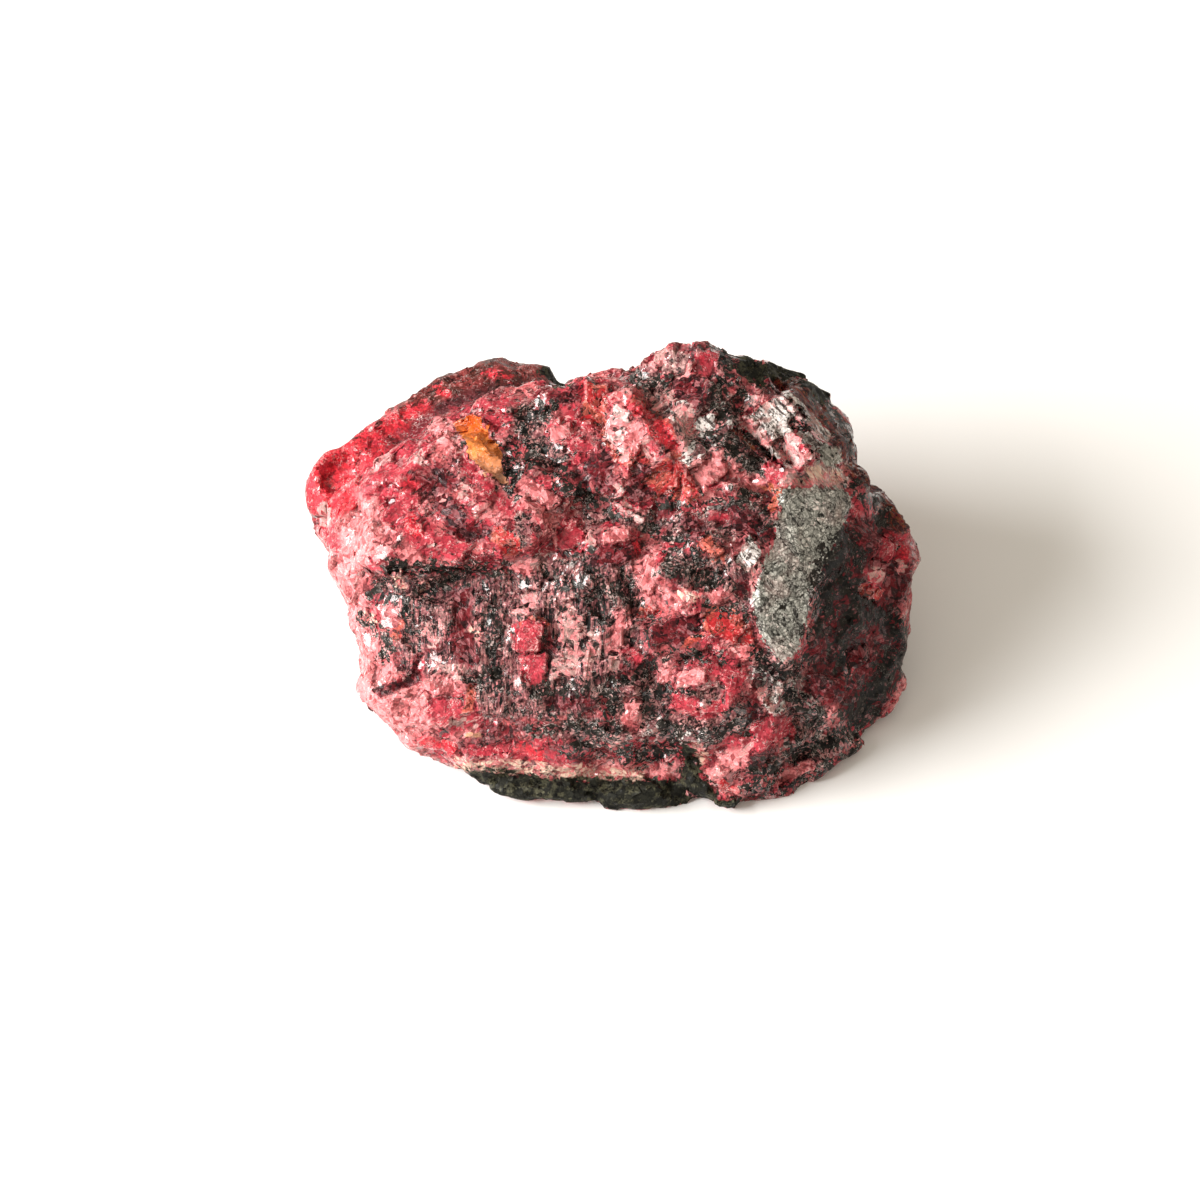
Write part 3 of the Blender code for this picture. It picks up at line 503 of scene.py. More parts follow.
        (0.35, (-9, -10.4), (-7.6, -10.2), (-6.2, -9.9), (-5.2, -10.2)), (0.35, (-7.6, -9.4), (-5.4, -9)),
        (0.35, (-2.4, -11), (-1.4, -11.2)), (0.3, (-3.8, -3.4), (-3.9, -4.4)),
        (0.6, (-3.6, -7.4), (-1.6, -7.6)), (0.5, (2.8, -3.2), (4.2, -2.8), (4, -3.8)),
        (0.4, (0.6, -5.8), (1.4, -5.4), (2.4, -4.8)), (0.4, (4.2, 0.2), (4, -0.2)),
        (0.5, (8.6, 0.6), (8.2, -0.6)), (0.6, (8.8, -7.6), (9.2, -8.6)), (0.45, (9, -11.2), (10, -10.6)),
        (1.5, (14.2, 2.4), (14.4, 0.6), (14.8, -2.6), (13.6, -4.6)),
        (1.4, (16.6, -2), (17.4, -4.6), (15.6, -7.6)),
        (0.9, (16, 1.6), (17.6, 1.4), (18.2, 0.2), (17.4, -0.8)), (0.8, (15.6, 3.2), (17.6, 3.4)),
        (0.7, (12.8, -6.2), (13.8, -6.9), (14.8, -6.6)), (0.8, (15.8, -3.6), (16.8, -4)),
        (0.5, (13, -4.4), (13.6, -4)), (0.5, (11.2, 12), (12.6, 10.8), (13.8, 9.4), (14.4, 8.4)),
        (0.3, (10.2, 12.6), (11.2, 12.2)), (0.4, (14.8, -1.4), (15.4, -1.6)),
        (0.6, (16.2, -5.8), (17.2, -5.2)),
    ],
    "frost": [
        (0.14, (-9.9, 9.9), (-9.4, 8.7), (-8.6, 7.6), (-7.6, 6.6)), (0.4, (-12, 7.8)), (0.42, (-9.2, 5.6)),
        (0.36, (-8.5, 4.5)), (0.12, (-10.5, 5.3)), (0.3, (-11.4, 2.3)),
        (0.4, (0.2, 10.2), (0.2, 9.2), (0.8, 8)), (0.35, (1.4, 9.6), (2, 8.8)), (0.3, (2.2, 8.2), (2.6, 7.6)),
        (0.26, (-0.2, 5.2), (0.6, 4.6), (1.8, 4.2)), (0.3, (0.4, 5.6)), (0.4, (-1.3, 2.8)),
        (0.3, (-5.4, 1.2), (-4.4, 0.9)), (0.55, (4.6, 8.8), (5.2, 9.6), (4.4, 10.6)), (0.3, (5.4, 8.2)),
        (0.7, (3.2, 13.9), (4.3, 13.5)), (0.45, (2.8, 11.2), (3.6, 11.6)), (0.3, (8.4, 11), (9, 11.4)),
        (0.75, (11.4, 6.6), (12.6, 6.9), (13.4, 6.7), (14.2, 6.4)), (0.3, (14.2, 5.6), (15, 4.8)),
        (0.4, (13.2, 8.4), (13.6, 8)), (0.4, (13.4, 7.2), (14.2, 6.6)), (0.3, (6.7, 10)),
        (0.4, (-10.6, -5.4), (-9.6, -5.6)), (0.6, (-2.8, -2.2), (-2.4, -3)),
        (0.5, (-3.2, -5.2), (-2.4, -4.6), (-1.6, -4.6)), (0.3, (-1.2, -3.6), (-1.2, -4.6)),
        (0.25, (0.2, -4.9), (0.3, -5.4)), (0.35, (-5.2, -1), (-5.6, -2)), (0.3, (-11.4, -2.8), (-11.2, -3.6)),
        (0.3, (8.2, 2), (9, 1.6), (9.2, 0.8)), (0.2, (8.9, 0.2), (9, -0.8)), (0.25, (7.4, -0.4)),
        (0.14, (10.2, -4.8), (11.2, -5)), (0.35, (0.3, -9.8), (0.5, -10.3)), (0.3, (3.4, -4.8)),
        (0.25, (9.4, -6.8), (10, -7.8)), (0.16, (8.2, -10.6), (8.8, -10.2)), (0.3, (2.8, -9.2)),
        (0.35, (-17.9, 4.6), (-17.9, 4)), (0.25, (-9.8, -8.8), (-8.8, -8.9)), (0.35, (16.6, 0.4)),
        (0.3, (18.2, 0.9)),
    ],
    "cream": [
        (0.5, (-9.4, -11.5), (-7.6, -11.7), (-4, -11.9), (-0.8, -12.15), (1.6, -12.2)),
        (0.3, (-15.4, -2.2), (-14.8, -2.6)), (0.25, (-12, -0.6), (-11.6, -0.2)),
        (0.2, (-13.4, 0.2), (-13, -0.4)), (0.25, (-7.2, 7.4), (-6.6, 6.4)), (0.4, (5.2, -10.2), (5.6, -11.2)),
        (0.3, (12, 6.4), (13, 6.9), (14.2, 6.5)), (0.25, (4.4, -0.8), (5.2, -1.2)), (0.3, (-8.4, -3.2)),
    ],
    "orange": [(0.2, (-7.4, 7.4), (-7, 6.9)), (0.12, (-9, -9.6), (-8.2, -9.6))],
    "black": [
        # The first two lines lie in the groove under the ledge: painted shadow.
        (0.28, (-13.8, 1), (-12, 0.85), (-8.6, 0.7), (-6.6, 0.9)), (0.2, (-10.8, 0.1), (-8.6, 0.3)),
        (0.35, (-14.4, -0.9), (-12.6, -0.9), (-11.2, -0.6)), (0.3, (-14.2, 0.2), (-14.6, -0.6)),
        (0.45, (-12.9, -1.2), (-12.5, -2.8)), (0.75, (-7.2, 8.2), (-6.3, 7.2), (-6.2, 6.2)),
        (0.45, (-6.8, 8.4), (-5.2, 8.6), (-4.2, 8.2)), (0.4, (-5.4, 9.4), (-5.2, 10.4), (-3.8, 11)),
        (0.55, (-3.4, 7.4), (-3.2, 6.4), (-2.2, 5.8), (-1.6, 5.4)), (0.35, (-5, 7.6), (-3.2, 7.2)),
        (0.16, (-2, 5.1), (-0.6, 4.9), (0.8, 4.1), (2.2, 3.9)), (0.2, (3.4, 4.7), (5.6, 4.9), (8.4, 5.2)),
        (0.3, (8, 5.6), (9.6, 5.2), (9.8, 3.8)), (0.28, (2.6, 3.4), (3.6, 2.8), (4.8, 2.2), (5.6, 1.2)),
        (0.5, (4.6, 0.6), (5.4, 0.2), (6.6, 0.2)), (0.3, (3.5, 1.2), (4, 0.6)),
        (0.35, (-1.6, 1.6), (-1.2, 0.4), (-0.6, -0.4)), (0.25, (-4.2, 0.8), (-3.6, 0), (-1.8, -0.2)),
        (0.4, (-1.6, -0.6), (-0.2, -0.8), (1.1, -0.4), (1.3, -1.2)), (0.3, (-0.9, -1.4), (-0.6, -2.4)),
        (0.45, (-7.5, -1.8), (-7.4, -3.4), (-7.2, -5.4), (-7.4, -6.4)), (0.25, (-8.8, -6.2), (-7.6, -5.9)),
        (0.3, (-4.8, -6.9), (-3, -6.6), (-1.4, -6.4)),
        (0.35, (-4.6, -9.2), (-3.2, -8.8), (-1.4, -9.2), (0.4, -9.2)),
        (0.5, (-0.8, -6.8), (0.2, -7), (0, -8)), (0.3, (0.2, -6.2), (1.4, -6), (2.6, -5.2)),
        (0.35, (2.2, -7.2), (3.4, -6.8), (5, -6.9)), (0.4, (2.4, -8), (2.8, -8.8), (4.2, -9.4)),
        (0.4, (-2.6, -10.3), (-0.8, -10.3)), (0.6, (1, -10.7), (3.4, -10.6), (4, -9.8)),
        (0.2, (2, -3.2), (3, -4.3), (4.6, -4.7), (6, -4.4), (6.9, -4.8)), (0.16, (2.2, -2.6), (3.6, -2.2)),
        (0.28, (4.8, -2.8), (5.1, -3.1)), (0.17, (5.8, -1.4), (6.8, -1.7), (7.8, -1.8), (8.8, -2.3)),
        (0.3, (-13.9, -3.6), (-14.1, -4.6)), (0.9, (13.2, -1.6), (13.4, 0.2), (14.2, 1.8)),
        (0.7, (14.6, -0.2), (15.6, -0.8), (15, -2.6)), (0.6, (14.4, 2.8), (15.4, 1.6)),
        (0.4, (13, -2.8), (12.4, -3.4)), (0.4, (9.2, -4.4), (10, -5.4), (11.2, -5.8), (12.2, -4.8)),
        (0.55, (11, -6.6), (11.8, -7.6), (12.8, -8.6)), (0.5, (14.6, -5.4), (14.2, -3.4), (15.8, -2.4)),
        (0.6, (16.4, -2), (17.6, -2.4), (18.2, -3.6)), (0.8, (15.2, -8.6), (16.6, -6.8), (17.8, -4.8)),
        (0.4, (8.8, -13), (11, -12.9), (13.4, -11.8), (15.6, -10.2), (17.2, -8.8)),
        (0.45, (8.8, -12), (10.2, -11.6)), (0.6, (11.4, -10.4), (13.2, -10), (15, -9.4)),
        (0.55, (6.4, 14.2), (7.4, 13.8), (8.8, 13.8)), (0.5, (7.2, 12.9), (6.6, 11.8)),
        (0.4, (1.4, 12.9), (2.2, 12.4), (3.4, 12.5)), (0.5, (6.2, 10.4), (7.6, 10.6)),
        (0.3, (7.9, 12.6), (8.2, 11.6)), (0.5, (5.9, 8.9), (7.2, 8.6), (8.6, 7.6), (9.2, 7.3)),
        (0.3, (6.4, 9.2), (8, 9.4), (9.6, 8.2)), (0.35, (11.4, 9.9), (12.2, 9.5)),
        (0.35, (12.6, 12), (14.2, 10.2), (15.2, 8.6)), (0.35, (15.2, 5.9), (16.4, 4.9), (17.2, 4)),
        (0.05, (10.6, -1.6), (11, -1.4)), (0.2, (-15.6, -2.4), (-14.6, -3)),
        (0.4, (5.8, -9.6), (7.6, -9.2), (8.8, -8.8)),
    ],
    "crust": [
        (0.35, (-11.6, -11.5), (-9.4, -12.4)), (1.4, (-8.4, -13), (-4, -13.6), (0, -13.7), (5.4, -13.7)),
        (0.5, (4.8, -10.6), (5, -12.2)), (0.4, (6.4, -13.9), (8, -13.9)), (0.7, (5, -11.8), (5.4, -13.6)),
        (0.4, (-4.2, 13.2), (-3, 12.4)), (0.7, (10.4, 13.4), (12.2, 13), (13.2, 11.8)),
        (0.7, (8.4, 13.5), (9.6, 12.9)),
    ],
    "fibres": [(0.7, (9, 2.4), (8.6, 0.4)), (0.6, (2.3, 1.4), (2.4, -1.6))],
}
REACH = 1.5  # mm, how far from its edge a mark is known
FACE_EDGE = 5  # how much sharper the edge of a cleavage face is than that of a mark

skin_places = corners_of_skin("co") / MM
skin_normals = corners_of_skin("normal")
spots, out = seen(skin_places)
corner_normals = skin_normals.copy()
grain_start = len(skin_places) - len(grain_corners)
for number, root in enumerate(roots):
    first = grain_start + number * len(corners)
    spots[first:first + len(corners)] = spots[root]
    corner_normals[first:first + len(corners)] = skin_normals[root]
shown = np.clip((corner_normals @ OUT + 0.25) / 0.3, 0, 1)


def store(name, values):
    """Keeps a value on every corner of the stone, for its material."""
    stone.data.attributes.new(name, "FLOAT", "POINT").data.foreach_set("value", values.astype(np.float32))


def mark(name, depth):
    """Stores on every corner how deep inside a mark it lies: a mineral's, or one of painted light or shade.
    """
    store(name, np.clip(depth, -REACH, REACH) * shown - REACH * (1 - shown))


uneven = wavered(skin_places, spots)
face_owner = np.full(len(spots), "none", dtype="<U12")
face_edge = np.zeros(len(spots))
for middle, size, turn, rise, lift, mineral in CLEAVAGE_FACES:
    depth = face_depth(uneven, middle, size, turn)
    face_owner[depth > 0] = mineral
    face_edge[depth > 0] = FACE_EDGE * depth[depth > 0]
sliver = inside(uneven, SLIVER)
face_owner[(sliver < 0) & (face_owner == "orange")] = "none"
face_owner[sliver > 0] = "orange"
face_edge[sliver > 0] = FACE_EDGE * sliver[sliver > 0]
for name, marks in MINERAL_AND_LIGHT_MARKS.items():
    depth = np.full(len(spots), -REACH)
    for half_width, *points in marks:
        depth = np.maximum(depth, half_width - distance_to_line(spots, points))
    if name == "fibres":
        depth = np.maximum(depth, inside(spots, BELLY))
    if name in ("lobe_shade", "smoky_shade"):
        depth = np.minimum(depth, LOBE_DEPTH - out)
    if name == "ridge_highlight":
        depth = np.minimum(depth, out - LOBE_DEPTH)
    on_a_face = np.where(face_owner == name, face_edge, -face_edge)
    depth = np.where(face_owner == "none", depth, on_a_face)
    if name == "orange":
        depth = np.minimum(depth, out - LOBE_DEPTH)
    mark(name, depth)
mark("plate", inside(spots, PLATE))
store("shown", shown)


def edge_sharpness(places, normals, count):
    """How far each corner of the skin stands out of its neighbours: above 0 on an edge, below in a crease."""
    ends = np.empty(len(stone.data.edges) * 2, int)
    stone.data.edges.foreach_get("vertices", ends)
    ends = ends.reshape(-1, 2)
    ends = ends[(ends < count).all(axis=1)]
    around = np.zeros((len(places), 3))
    neighbours = np.zeros(len(places))
    for near, far in ((0, 1), (1, 0)):
        np.add.at(around, ends[:, near], places[ends[:, far]])
        np.add.at(neighbours, ends[:, near], 1)
    around /= np.maximum(neighbours, 1)[:, None]
    stands = np.einsum("ij,ij->i", places - around, normals) / SKIN_GRAIN * 4
    return np.where(np.arange(len(places)) < count, stands, 0)


sharpness = np.clip(edge_sharpness(skin_places, skin_normals, grain_start), -REACH, REACH)
store("edge", sharpness)


# The stone's material is layered from those marks, crystal cells of three sizes, and finer noise.
class Field:
    """A value or colour that varies over the stone: a node's socket, with arithmetic on values."""

    def __init__(self, socket):
        self.socket = socket

    def math(self, operation, *others):
        return shade("Math", {"operation": operation}, dict(enumerate((self, *others))))

    def __add__(self, other):
        return self.math("ADD", other)

    __radd__ = __add__

    def __sub__(self, other):
        return self.math("SUBTRACT", other)

    def __rsub__(self, other):
        return shade("Math", {"operation": "SUBTRACT"}, {0: other, 1: self})

    def __mul__(self, other):
        return self.math("MULTIPLY", other)

    __rmul__ = __mul__

    def clamped(self):
        return shade("Clamp", {}, {"Value": self})


def shade(kind, settings, inputs, output=0):
    """Adds a node to the stone's material and gives one of its outputs."""
    made = nodes.new("ShaderNode" + kind)
    for setting, value in settings.items():
        setattr(made, setting, value)
    for key, value in inputs.items():
        if isinstance(value, Field):
            links.new(value.socket, made.inputs[key])
        else:
            made.inputs[key].default_value = value
    return Field(made.outputs[output])


def mix(under, over, share):
    """Lays one colour over another by a share from 0 to 1."""
    colours = {0: share}
    for slot, colour in ((6, under), (7, over)):
        colours[slot] = colour if isinstance(colour, Field) else (*colour, 1.0)
    return shade("Mix", {"data_type": "RGBA"}, colours, 2)


def vector_math(operation, first, second, output="Vector"):
    """Works on two vectors, or on a vector and the number that scales it."""
    inputs = {0: first, ("Scale" if operation == "SCALE" else 1): second}
    return shade("VectorMath", {"operation": operation}, inputs, output)


def speckle(per_mm, detail=3.0, roughness=0.6, place=None):
    """A noise from 0 to 1 with so many lumps a millimetre."""
    settings = {"Vector": place or spot, "Scale": per_mm, "Detail": detail, "Roughness": roughness}
    return shade("TexNoise", {}, settings)


def above(value, level, softness):
    """1 where a value is above a level and 0 below it, with a soft edge."""
    return ((value - level) * (1 / softness) + 0.5).clamped()


def below(value, level, softness):
    """1 where a value is below a level and 0 above it, with a soft edge."""
    return above(0 - value, -level, softness)


def stored(name):
    """A value that was kept on the corners of the stone."""
    return shade("Attribute", {"attribute_name": name}, {}, "Fac")


def crystals(per_mm, place=None):
    """Crystal cells: two random values and a random tilted plane for each, and its own direction."""
    place = place or spot
    cell = nodes.new("ShaderNodeTexVoronoi")
    cell.inputs["Scale"].default_value = per_mm
    links.new(place.socket, cell.inputs["Vector"])
    colour = Field(cell.outputs["Color"])
    facing = vector_math("SUBTRACT", colour, (0.5, 0.5, 0.5))
    arm = vector_math("SUBTRACT", place, Field(cell.outputs["Position"]))
    plane = vector_math("DOT_PRODUCT", arm, facing, "Value")
    parts = shade("SeparateColor", {}, {"Color": colour})
    direction = shade("VectorMath", {"operation": "NORMALIZE"}, {0: facing})
    return parts, Field(parts.socket.node.outputs[1]), plane, direction


def drawn_along(direction, stretch):
    """The place, squeezed along a direction, so that a pattern on it is drawn out that way."""
    length = vector_math("DOT_PRODUCT", spot, direction, "Value")
    return vector_math("SUBTRACT", spot, vector_math("SCALE", direction, length * stretch))


material = bpy.data.materials.new("rough_rhodonite")
material.use_nodes = True
nodes = material.node_tree.nodes
links = material.node_tree.links
surface = nodes["Principled BSDF"]

PINK = (0.43, 0.095, 0.105)
SALMON = (0.74, 0.222, 0.232)
SALMON_DEEP = (0.54, 0.112, 0.118)
ROSE = (0.52, 0.045, 0.068)
DEEP_ROSE = (0.34, 0.02, 0.034)
CRIMSON = (0.8, 0.036, 0.055)
CORAL = (0.6, 0.12, 0.085)
CORAL_RED = (0.42, 0.02, 0.024)
WINE = (0.17, 0.012, 0.018)
DARK_WINE = (0.045, 0.007, 0.01)
FROST = (0.46, 0.26, 0.24)
SILVER = (0.66, 0.6, 0.57)
SILVER_DARK = (0.1, 0.075, 0.07)
PEARL = (0.74, 0.49, 0.47)
CREAM = (0.78, 0.55, 0.43)
ORANGE = (0.68, 0.105, 0.01)
AMBER = (0.8, 0.235, 0.055)
CREAM_STAIN = (0.66, 0.31, 0.18)
CRUSHED_EDGE_AND_HIGHLIGHT = (0.74, 0.4, 0.38)
FLASH_HIGHLIGHT = (0.8, 0.56, 0.53)
SHADED_SMOKY_RED = (0.26, 0.04, 0.038)
SHADED_SMOKY_BROWN = (0.11, 0.026, 0.02)
RUST = (0.24, 0.07, 0.03)
LILAC = (0.25, 0.08, 0.088)
FIBRE_DARK = (0.024, 0.012, 0.011)
FIBRE_PALE = (0.37, 0.165, 0.155)
BLACK = (0.004, 0.004, 0.0035)
BLACK_GREY = (0.018, 0.015, 0.012)
GLINT = (0.88, 0.77, 0.73)
CRUST = (0.012, 0.012, 0.008)
CRUST_GREEN = (0.06, 0.057, 0.034)
PLATE_GREY = (0.31, 0.305, 0.27)
PLATE_PALE = (0.52, 0.51, 0.46)
PLATE_DARK = (0.06, 0.058, 0.05)
COARSE_CRYSTALS = 0.8  # in a millimetre
SMALL_CRYSTALS = 3.0
TINY_CRYSTALS = 8.5
STRIPE_FALL = math.radians(47)  # of the cleavage lines on the striped block
HIDDEN_SEAMS = (0.5, 0.2, 0.84)  # the direction of the patches that the photograph doesn't show
CRACKS = ((0.9, 0.03), (2.3, 0.055))  # on the plate: how many in a millimetre, and how wide
CELL_EDGES = {"feature": "DISTANCE_TO_EDGE"}

object_place = shade("TexCoord", {}, {}, "Object")
spot = shade("Mapping", {}, {"Vector": object_place, "Scale": (1 / MM, 1 / MM, 1 / MM)})

ragged = speckle(1.6, 4.0, 0.6) - 0.5
fine = speckle(5.0, 4.0, 0.65)
coarse_value, coarse_other, coarse_plane, coarse_way = crystals(COARSE_CRYSTALS)
small_value, small_other, small_plane, small_way = crystals(SMALL_CRYSTALS, drawn_along(coarse_way, 0.5))
tiny_value, tiny_other, tiny_plane, _ = crystals(TINY_CRYSTALS, drawn_along(small_way, 0.55))
cleavage = speckle(7.0, 2.0, 0.6, drawn_along(coarse_way, 0.9))
splinters = speckle(5.0, 3.0, 0.65, drawn_along(tuple(UP), 0.9))
stripe = Vector(UP) * -math.sin(STRIPE_FALL) + Vector(ACROSS) * math.cos(STRIPE_FALL)
slope_grain = speckle(4.5, place=drawn_along(tuple(stripe), 0.93))


def marked(name, wander=0.7, softness=0.1, cells=0.5):
    """The share of a mark at each place, a mineral's or one of painted light or shade, its edge broken up by
    the grain of the stone.
    """
    return above(stored(name) + ragged * wander + (small_value - 0.5) * cells, 0.0, softness)


# the stone between the marks, and on the sides that the photograph doesn't show
body = mix(PINK, ROSE, above(speckle(0.22, 3.0, 0.55) + coarse_value * 0.2, 0.64, 0.1))
body = mix(body, WINE, above(speckle(0.42, 4.0, 0.62) + small_value * 0.14, 0.62, 0.05))
body = mix(body, SALMON_DEEP, above(speckle(0.5, 4.0, 0.6) + coarse_other * 0.2, 0.68, 0.06))

# broken, mixed ground: brown-black, lilac and pale fragments
unseen = 1 - stored("shown")
patches = speckle(0.17)
other_patches = speckle(0.21, place=drawn_along(HIDDEN_SEAMS, 0.6))
fragments = mix(FIBRE_DARK, LILAC, above(small_value * 0.5 + speckle(2.2, 3.0, 0.7), 0.7, 0.1))
fragments = mix(fragments, FIBRE_PALE, above(tiny_value * 0.35 + speckle(3.0, 3.0, 0.75), 0.76, 0.05))
mottled = marked("mottle", 1.6, 0.25) + unseen * above(patches + small_value * 0.1, 0.56, 0.04)
body = mix(body, fragments, mottled.clamped())

# silvery fragments where the stone glitters: pale mineral, partly painted glints
silvery_fragments_and_glints = mix(BLACK_GREY, SILVER, above(cleavage + tiny_value * 0.3, 0.6, 0.08))
silvery_fragments_and_glints = mix(silvery_fragments_and_glints, LILAC, above(small_other, 0.66, 0.05))
glittering = marked("glitter", 1.4, 0.2) + unseen * above(other_patches, 0.62, 0.04)
body = mix(body, silvery_fragments_and_glints, glittering.clamped())

# the belly's fibres, and the veined side of the knob
fibrous = marked("fibres", 1.5, 0.3)
threads = mix(FIBRE_DARK, LILAC, above(splinters + small_value * 0.1, 0.5, 0.05))
threads = mix(threads, FIBRE_PALE, above(splinters + small_other * 0.1, 0.595, 0.04))
threads = mix(threads, SALMON, above(splinters + tiny_value * 0.1, 0.69, 0.04))
threads = mix(threads, BLACK, below(splinters - coarse_value * 0.12, 0.37, 0.04))
body = mix(body, threads, fibrous)
body = mix(body, mix(LILAC, FROST, above(splinters + tiny_value * 0.1, 0.52, 0.1)), marked("veined", 0.6))

# clear rhodonite: salmon, rose, coral, wine (in the hollow of the left face also painted shade),
# smoky red-brown on the lobe behind (partly painted shade), and crimson
pale = marked("salmon", 0.9, 0.35) + unseen * below(patches - small_value * 0.1, 0.37, 0.06)
pale = pale.clamped()
body = mix(body, mix(SALMON_DEEP, SALMON, above(small_value + cleavage, 0.85, 0.35)), pale)
rose = marked("rose", 0.9, 0.25)
body = mix(body, mix(ROSE, DEEP_ROSE, above(small_value + fine * 0.5, 0.95, 0.3)), rose)
body = mix(body, mix(CORAL, CORAL_RED, above(coarse_other + small_value * 0.5, 0.8, 0.3)), marked("coral"))
dark = marked("wine", 0.8, 0.2) + unseen * below(other_patches - small_value * 0.1, 0.36, 0.05)
dark = dark.clamped()
body = mix(body, mix(WINE, DARK_WINE, above(small_other + fine * 0.4, 0.75, 0.2)), dark)
body = mix(body, LILAC, above(small_value * 0.6 + cleavage, 0.97, 0.06) * dark * 0.8)
# on the lobe behind: smoky red-brown, partly painted shade
smoky_shade = marked("smoky_shade", 0.9, 0.5)
body = mix(body, mix(SHADED_SMOKY_RED, SHADED_SMOKY_BROWN, above(speckle(0.7), 0.52, 0.2)), smoky_shade)
crimson = marked("crimson", 0.9, 0.3)
body = mix(body, mix(CRIMSON, DEEP_ROSE, above(fine + small_value * 0.5, 0.85, 0.3)), crimson)

# the edges of the breaks are paler, partly crushed mineral and partly painted highlight; the creases get
# painted shade in dark wine; and dark specks lie at random where the stone isn't rosy
edge = stored("edge")
edge_highlight_patches = above(speckle(1.2) + tiny_value * 0.2, 0.58, 0.1)
body = mix(body, CRUSHED_EDGE_AND_HIGHLIGHT, above(edge + tiny_value * 0.3, 0.8, 0.3) * edge_highlight_patches * (1 - dark) * 0.35)
body = mix(body, DARK_WINE, above(fine * 0.3 - edge, 0.7, 0.3) * 0.6)
rosy = (pale + rose + crimson).clamped()
body = mix(body, DARK_WINE, above(tiny_other + ragged * 0.8, 1.0, 0.08) * (1 - rosy) * 0.6)

# cleavage faces: frosted, striped with silver, slaty, creamy and pearly
body = mix(body, mix(FROST, SALMON, above(cleavage + small_other * 0.3, 0.68, 0.15)), marked("frost", 0.5))
stripes = mix(SILVER_DARK, SILVER, above(slope_grain + tiny_value * 0.1, 0.54, 0.05))
body = mix(body, mix(stripes, FROST, above(speckle(1.0), 0.55, 0.06)), marked("silver", 0.3))
slaty = marked("slate", 0.6, 0.2)
layers = mix(DARK_WINE, mix(WINE, RUST, above(fine, 0.5, 0.1)), above(slope_grain, 0.5, 0.07))
body = mix(body, layers, slaty)
creamy = mix(CREAM, SALMON_DEEP, above(cleavage + small_other * 0.3, 0.66, 0.2))
body = mix(body, creamy, marked("cream", 0.3, 0.2))
body = mix(body, mix(PEARL, SALMON, above(cleavage + small_other * 0.4, 0.74, 0.12)), marked("pearl", 0.4))
# a painted highlight along the front block's top edge, where light catches it
body = mix(body, mix(PEARL, SALMON, 0.5), marked("ridge_highlight", 0.8, 0.2) * 0.7)
# painted shade in dark wine on the lobe, just behind the front block's top edge
body = mix(body, DARK_WINE, marked("lobe_shade", 0.4, 0.8) * 0.75)
body = mix(body, mix(RUST, CORAL, above(fine, 0.5, 0.15)), marked("rust", 0.3))

# the sliver: stained orange at its top, amber and then cream further down
face_height = vector_math("DOT_PRODUCT", spot, tuple(UP), "Value") - float(np.dot(FACE_MIDDLE, UP))
stain = mix(AMBER, ORANGE, above(face_height + ragged, 9.4, 1.2))
stain = mix(CREAM_STAIN, stain, above(face_height + ragged * 2, 7.4, 1.6))
stained = marked("orange", 0.3, 0.1, 0.1)
body = mix(body, stain, stained)

# the plate: a grey-green sheet with hairline cracks
sheet = mix(PLATE_GREY, PLATE_PALE, above(fine * 0.7 + tiny_value * 0.4, 0.62, 0.12))
shaken = vector_math("ADD", spot, vector_math("SCALE", small_way, 0.09))
for per_mm, width in CRACKS:
    crack = shade("TexVoronoi", CELL_EDGES, {"Vector": shaken, "Scale": per_mm})
    sheet = mix(sheet, PLATE_DARK, below(crack - ragged * 0.1, width, 0.02) * 0.75)
sheet = mix(sheet, FROST, above(speckle(0.35), 0.56, 0.15) * 0.35)
rim = mix(PLATE_GREY, PLATE_PALE, above(cleavage + tiny_value * 0.3, 0.66, 0.2))
body = mix(body, rim, marked("plate_edge", 1.0, 0.3))
body = mix(body, sheet, marked("plate", 0.9, 0.06, 0.35))

# black: oxide in the marked veins and a fine net of it through the whole stone, and painted shadow in the
# groove under the ledge
on_plate = marked("plate", 0.2)
oxide_net = above(speckle(0.9, 4.0, 0.68) + ragged * 0.3, 0.67, 0.03)
bare = (1 - on_plate - marked("rose", 0.5) - marked("salmon", 0.5)).clamped()
seams = above((speckle(0.13, 4.0, 0.62) - 0.5).math("ABSOLUTE") + ragged * 0.05, 0.022, 0.012)
oxide_and_ledge_shadow = marked("black", 1.4, 0.12, 1.0) + oxide_net * bare + unseen * (1 - seams) - stained * 0.9
oxide_and_ledge_shadow = oxide_and_ledge_shadow.clamped() * (1 - above(tiny_value * 0.6 + small_other * 0.6, 0.88, 0.06) * 0.85)
body = mix(body, mix(BLACK, BLACK_GREY, above(small_value + fine * 0.6, 0.9, 0.15)), oxide_and_ledge_shadow)

# fine lines of painted glints, on black and pink alike, and then the crust over them
wiggle = (speckle(5.0, 4.0, 0.6, drawn_along(coarse_way, 0.6)) - 0.5).math("ABSOLUTE")
glint_lines = below(wiggle, 0.007, 0.01) * above(speckle(1.6), 0.54, 0.08)
body = mix(body, GLINT, glint_lines * (1 - dark * 0.7))
crusted = marked("crust", 0.5, 0.12)
crust = mix(CRUST, CRUST_GREEN, above(speckle(1.8, 4.0, 0.65) + tiny_value * 0.1, 0.6, 0.1))
body = mix(body, crust, crusted)

# each crystal is a little lighter or darker than the next, and streaked along its own cleavage
mixed = small_value * 0.38 + tiny_value * 0.32 + cleavage * 0.56 + coarse_other * 0.14
busy = above(speckle(0.6, 3.0, 0.55), 0.47, 0.2)
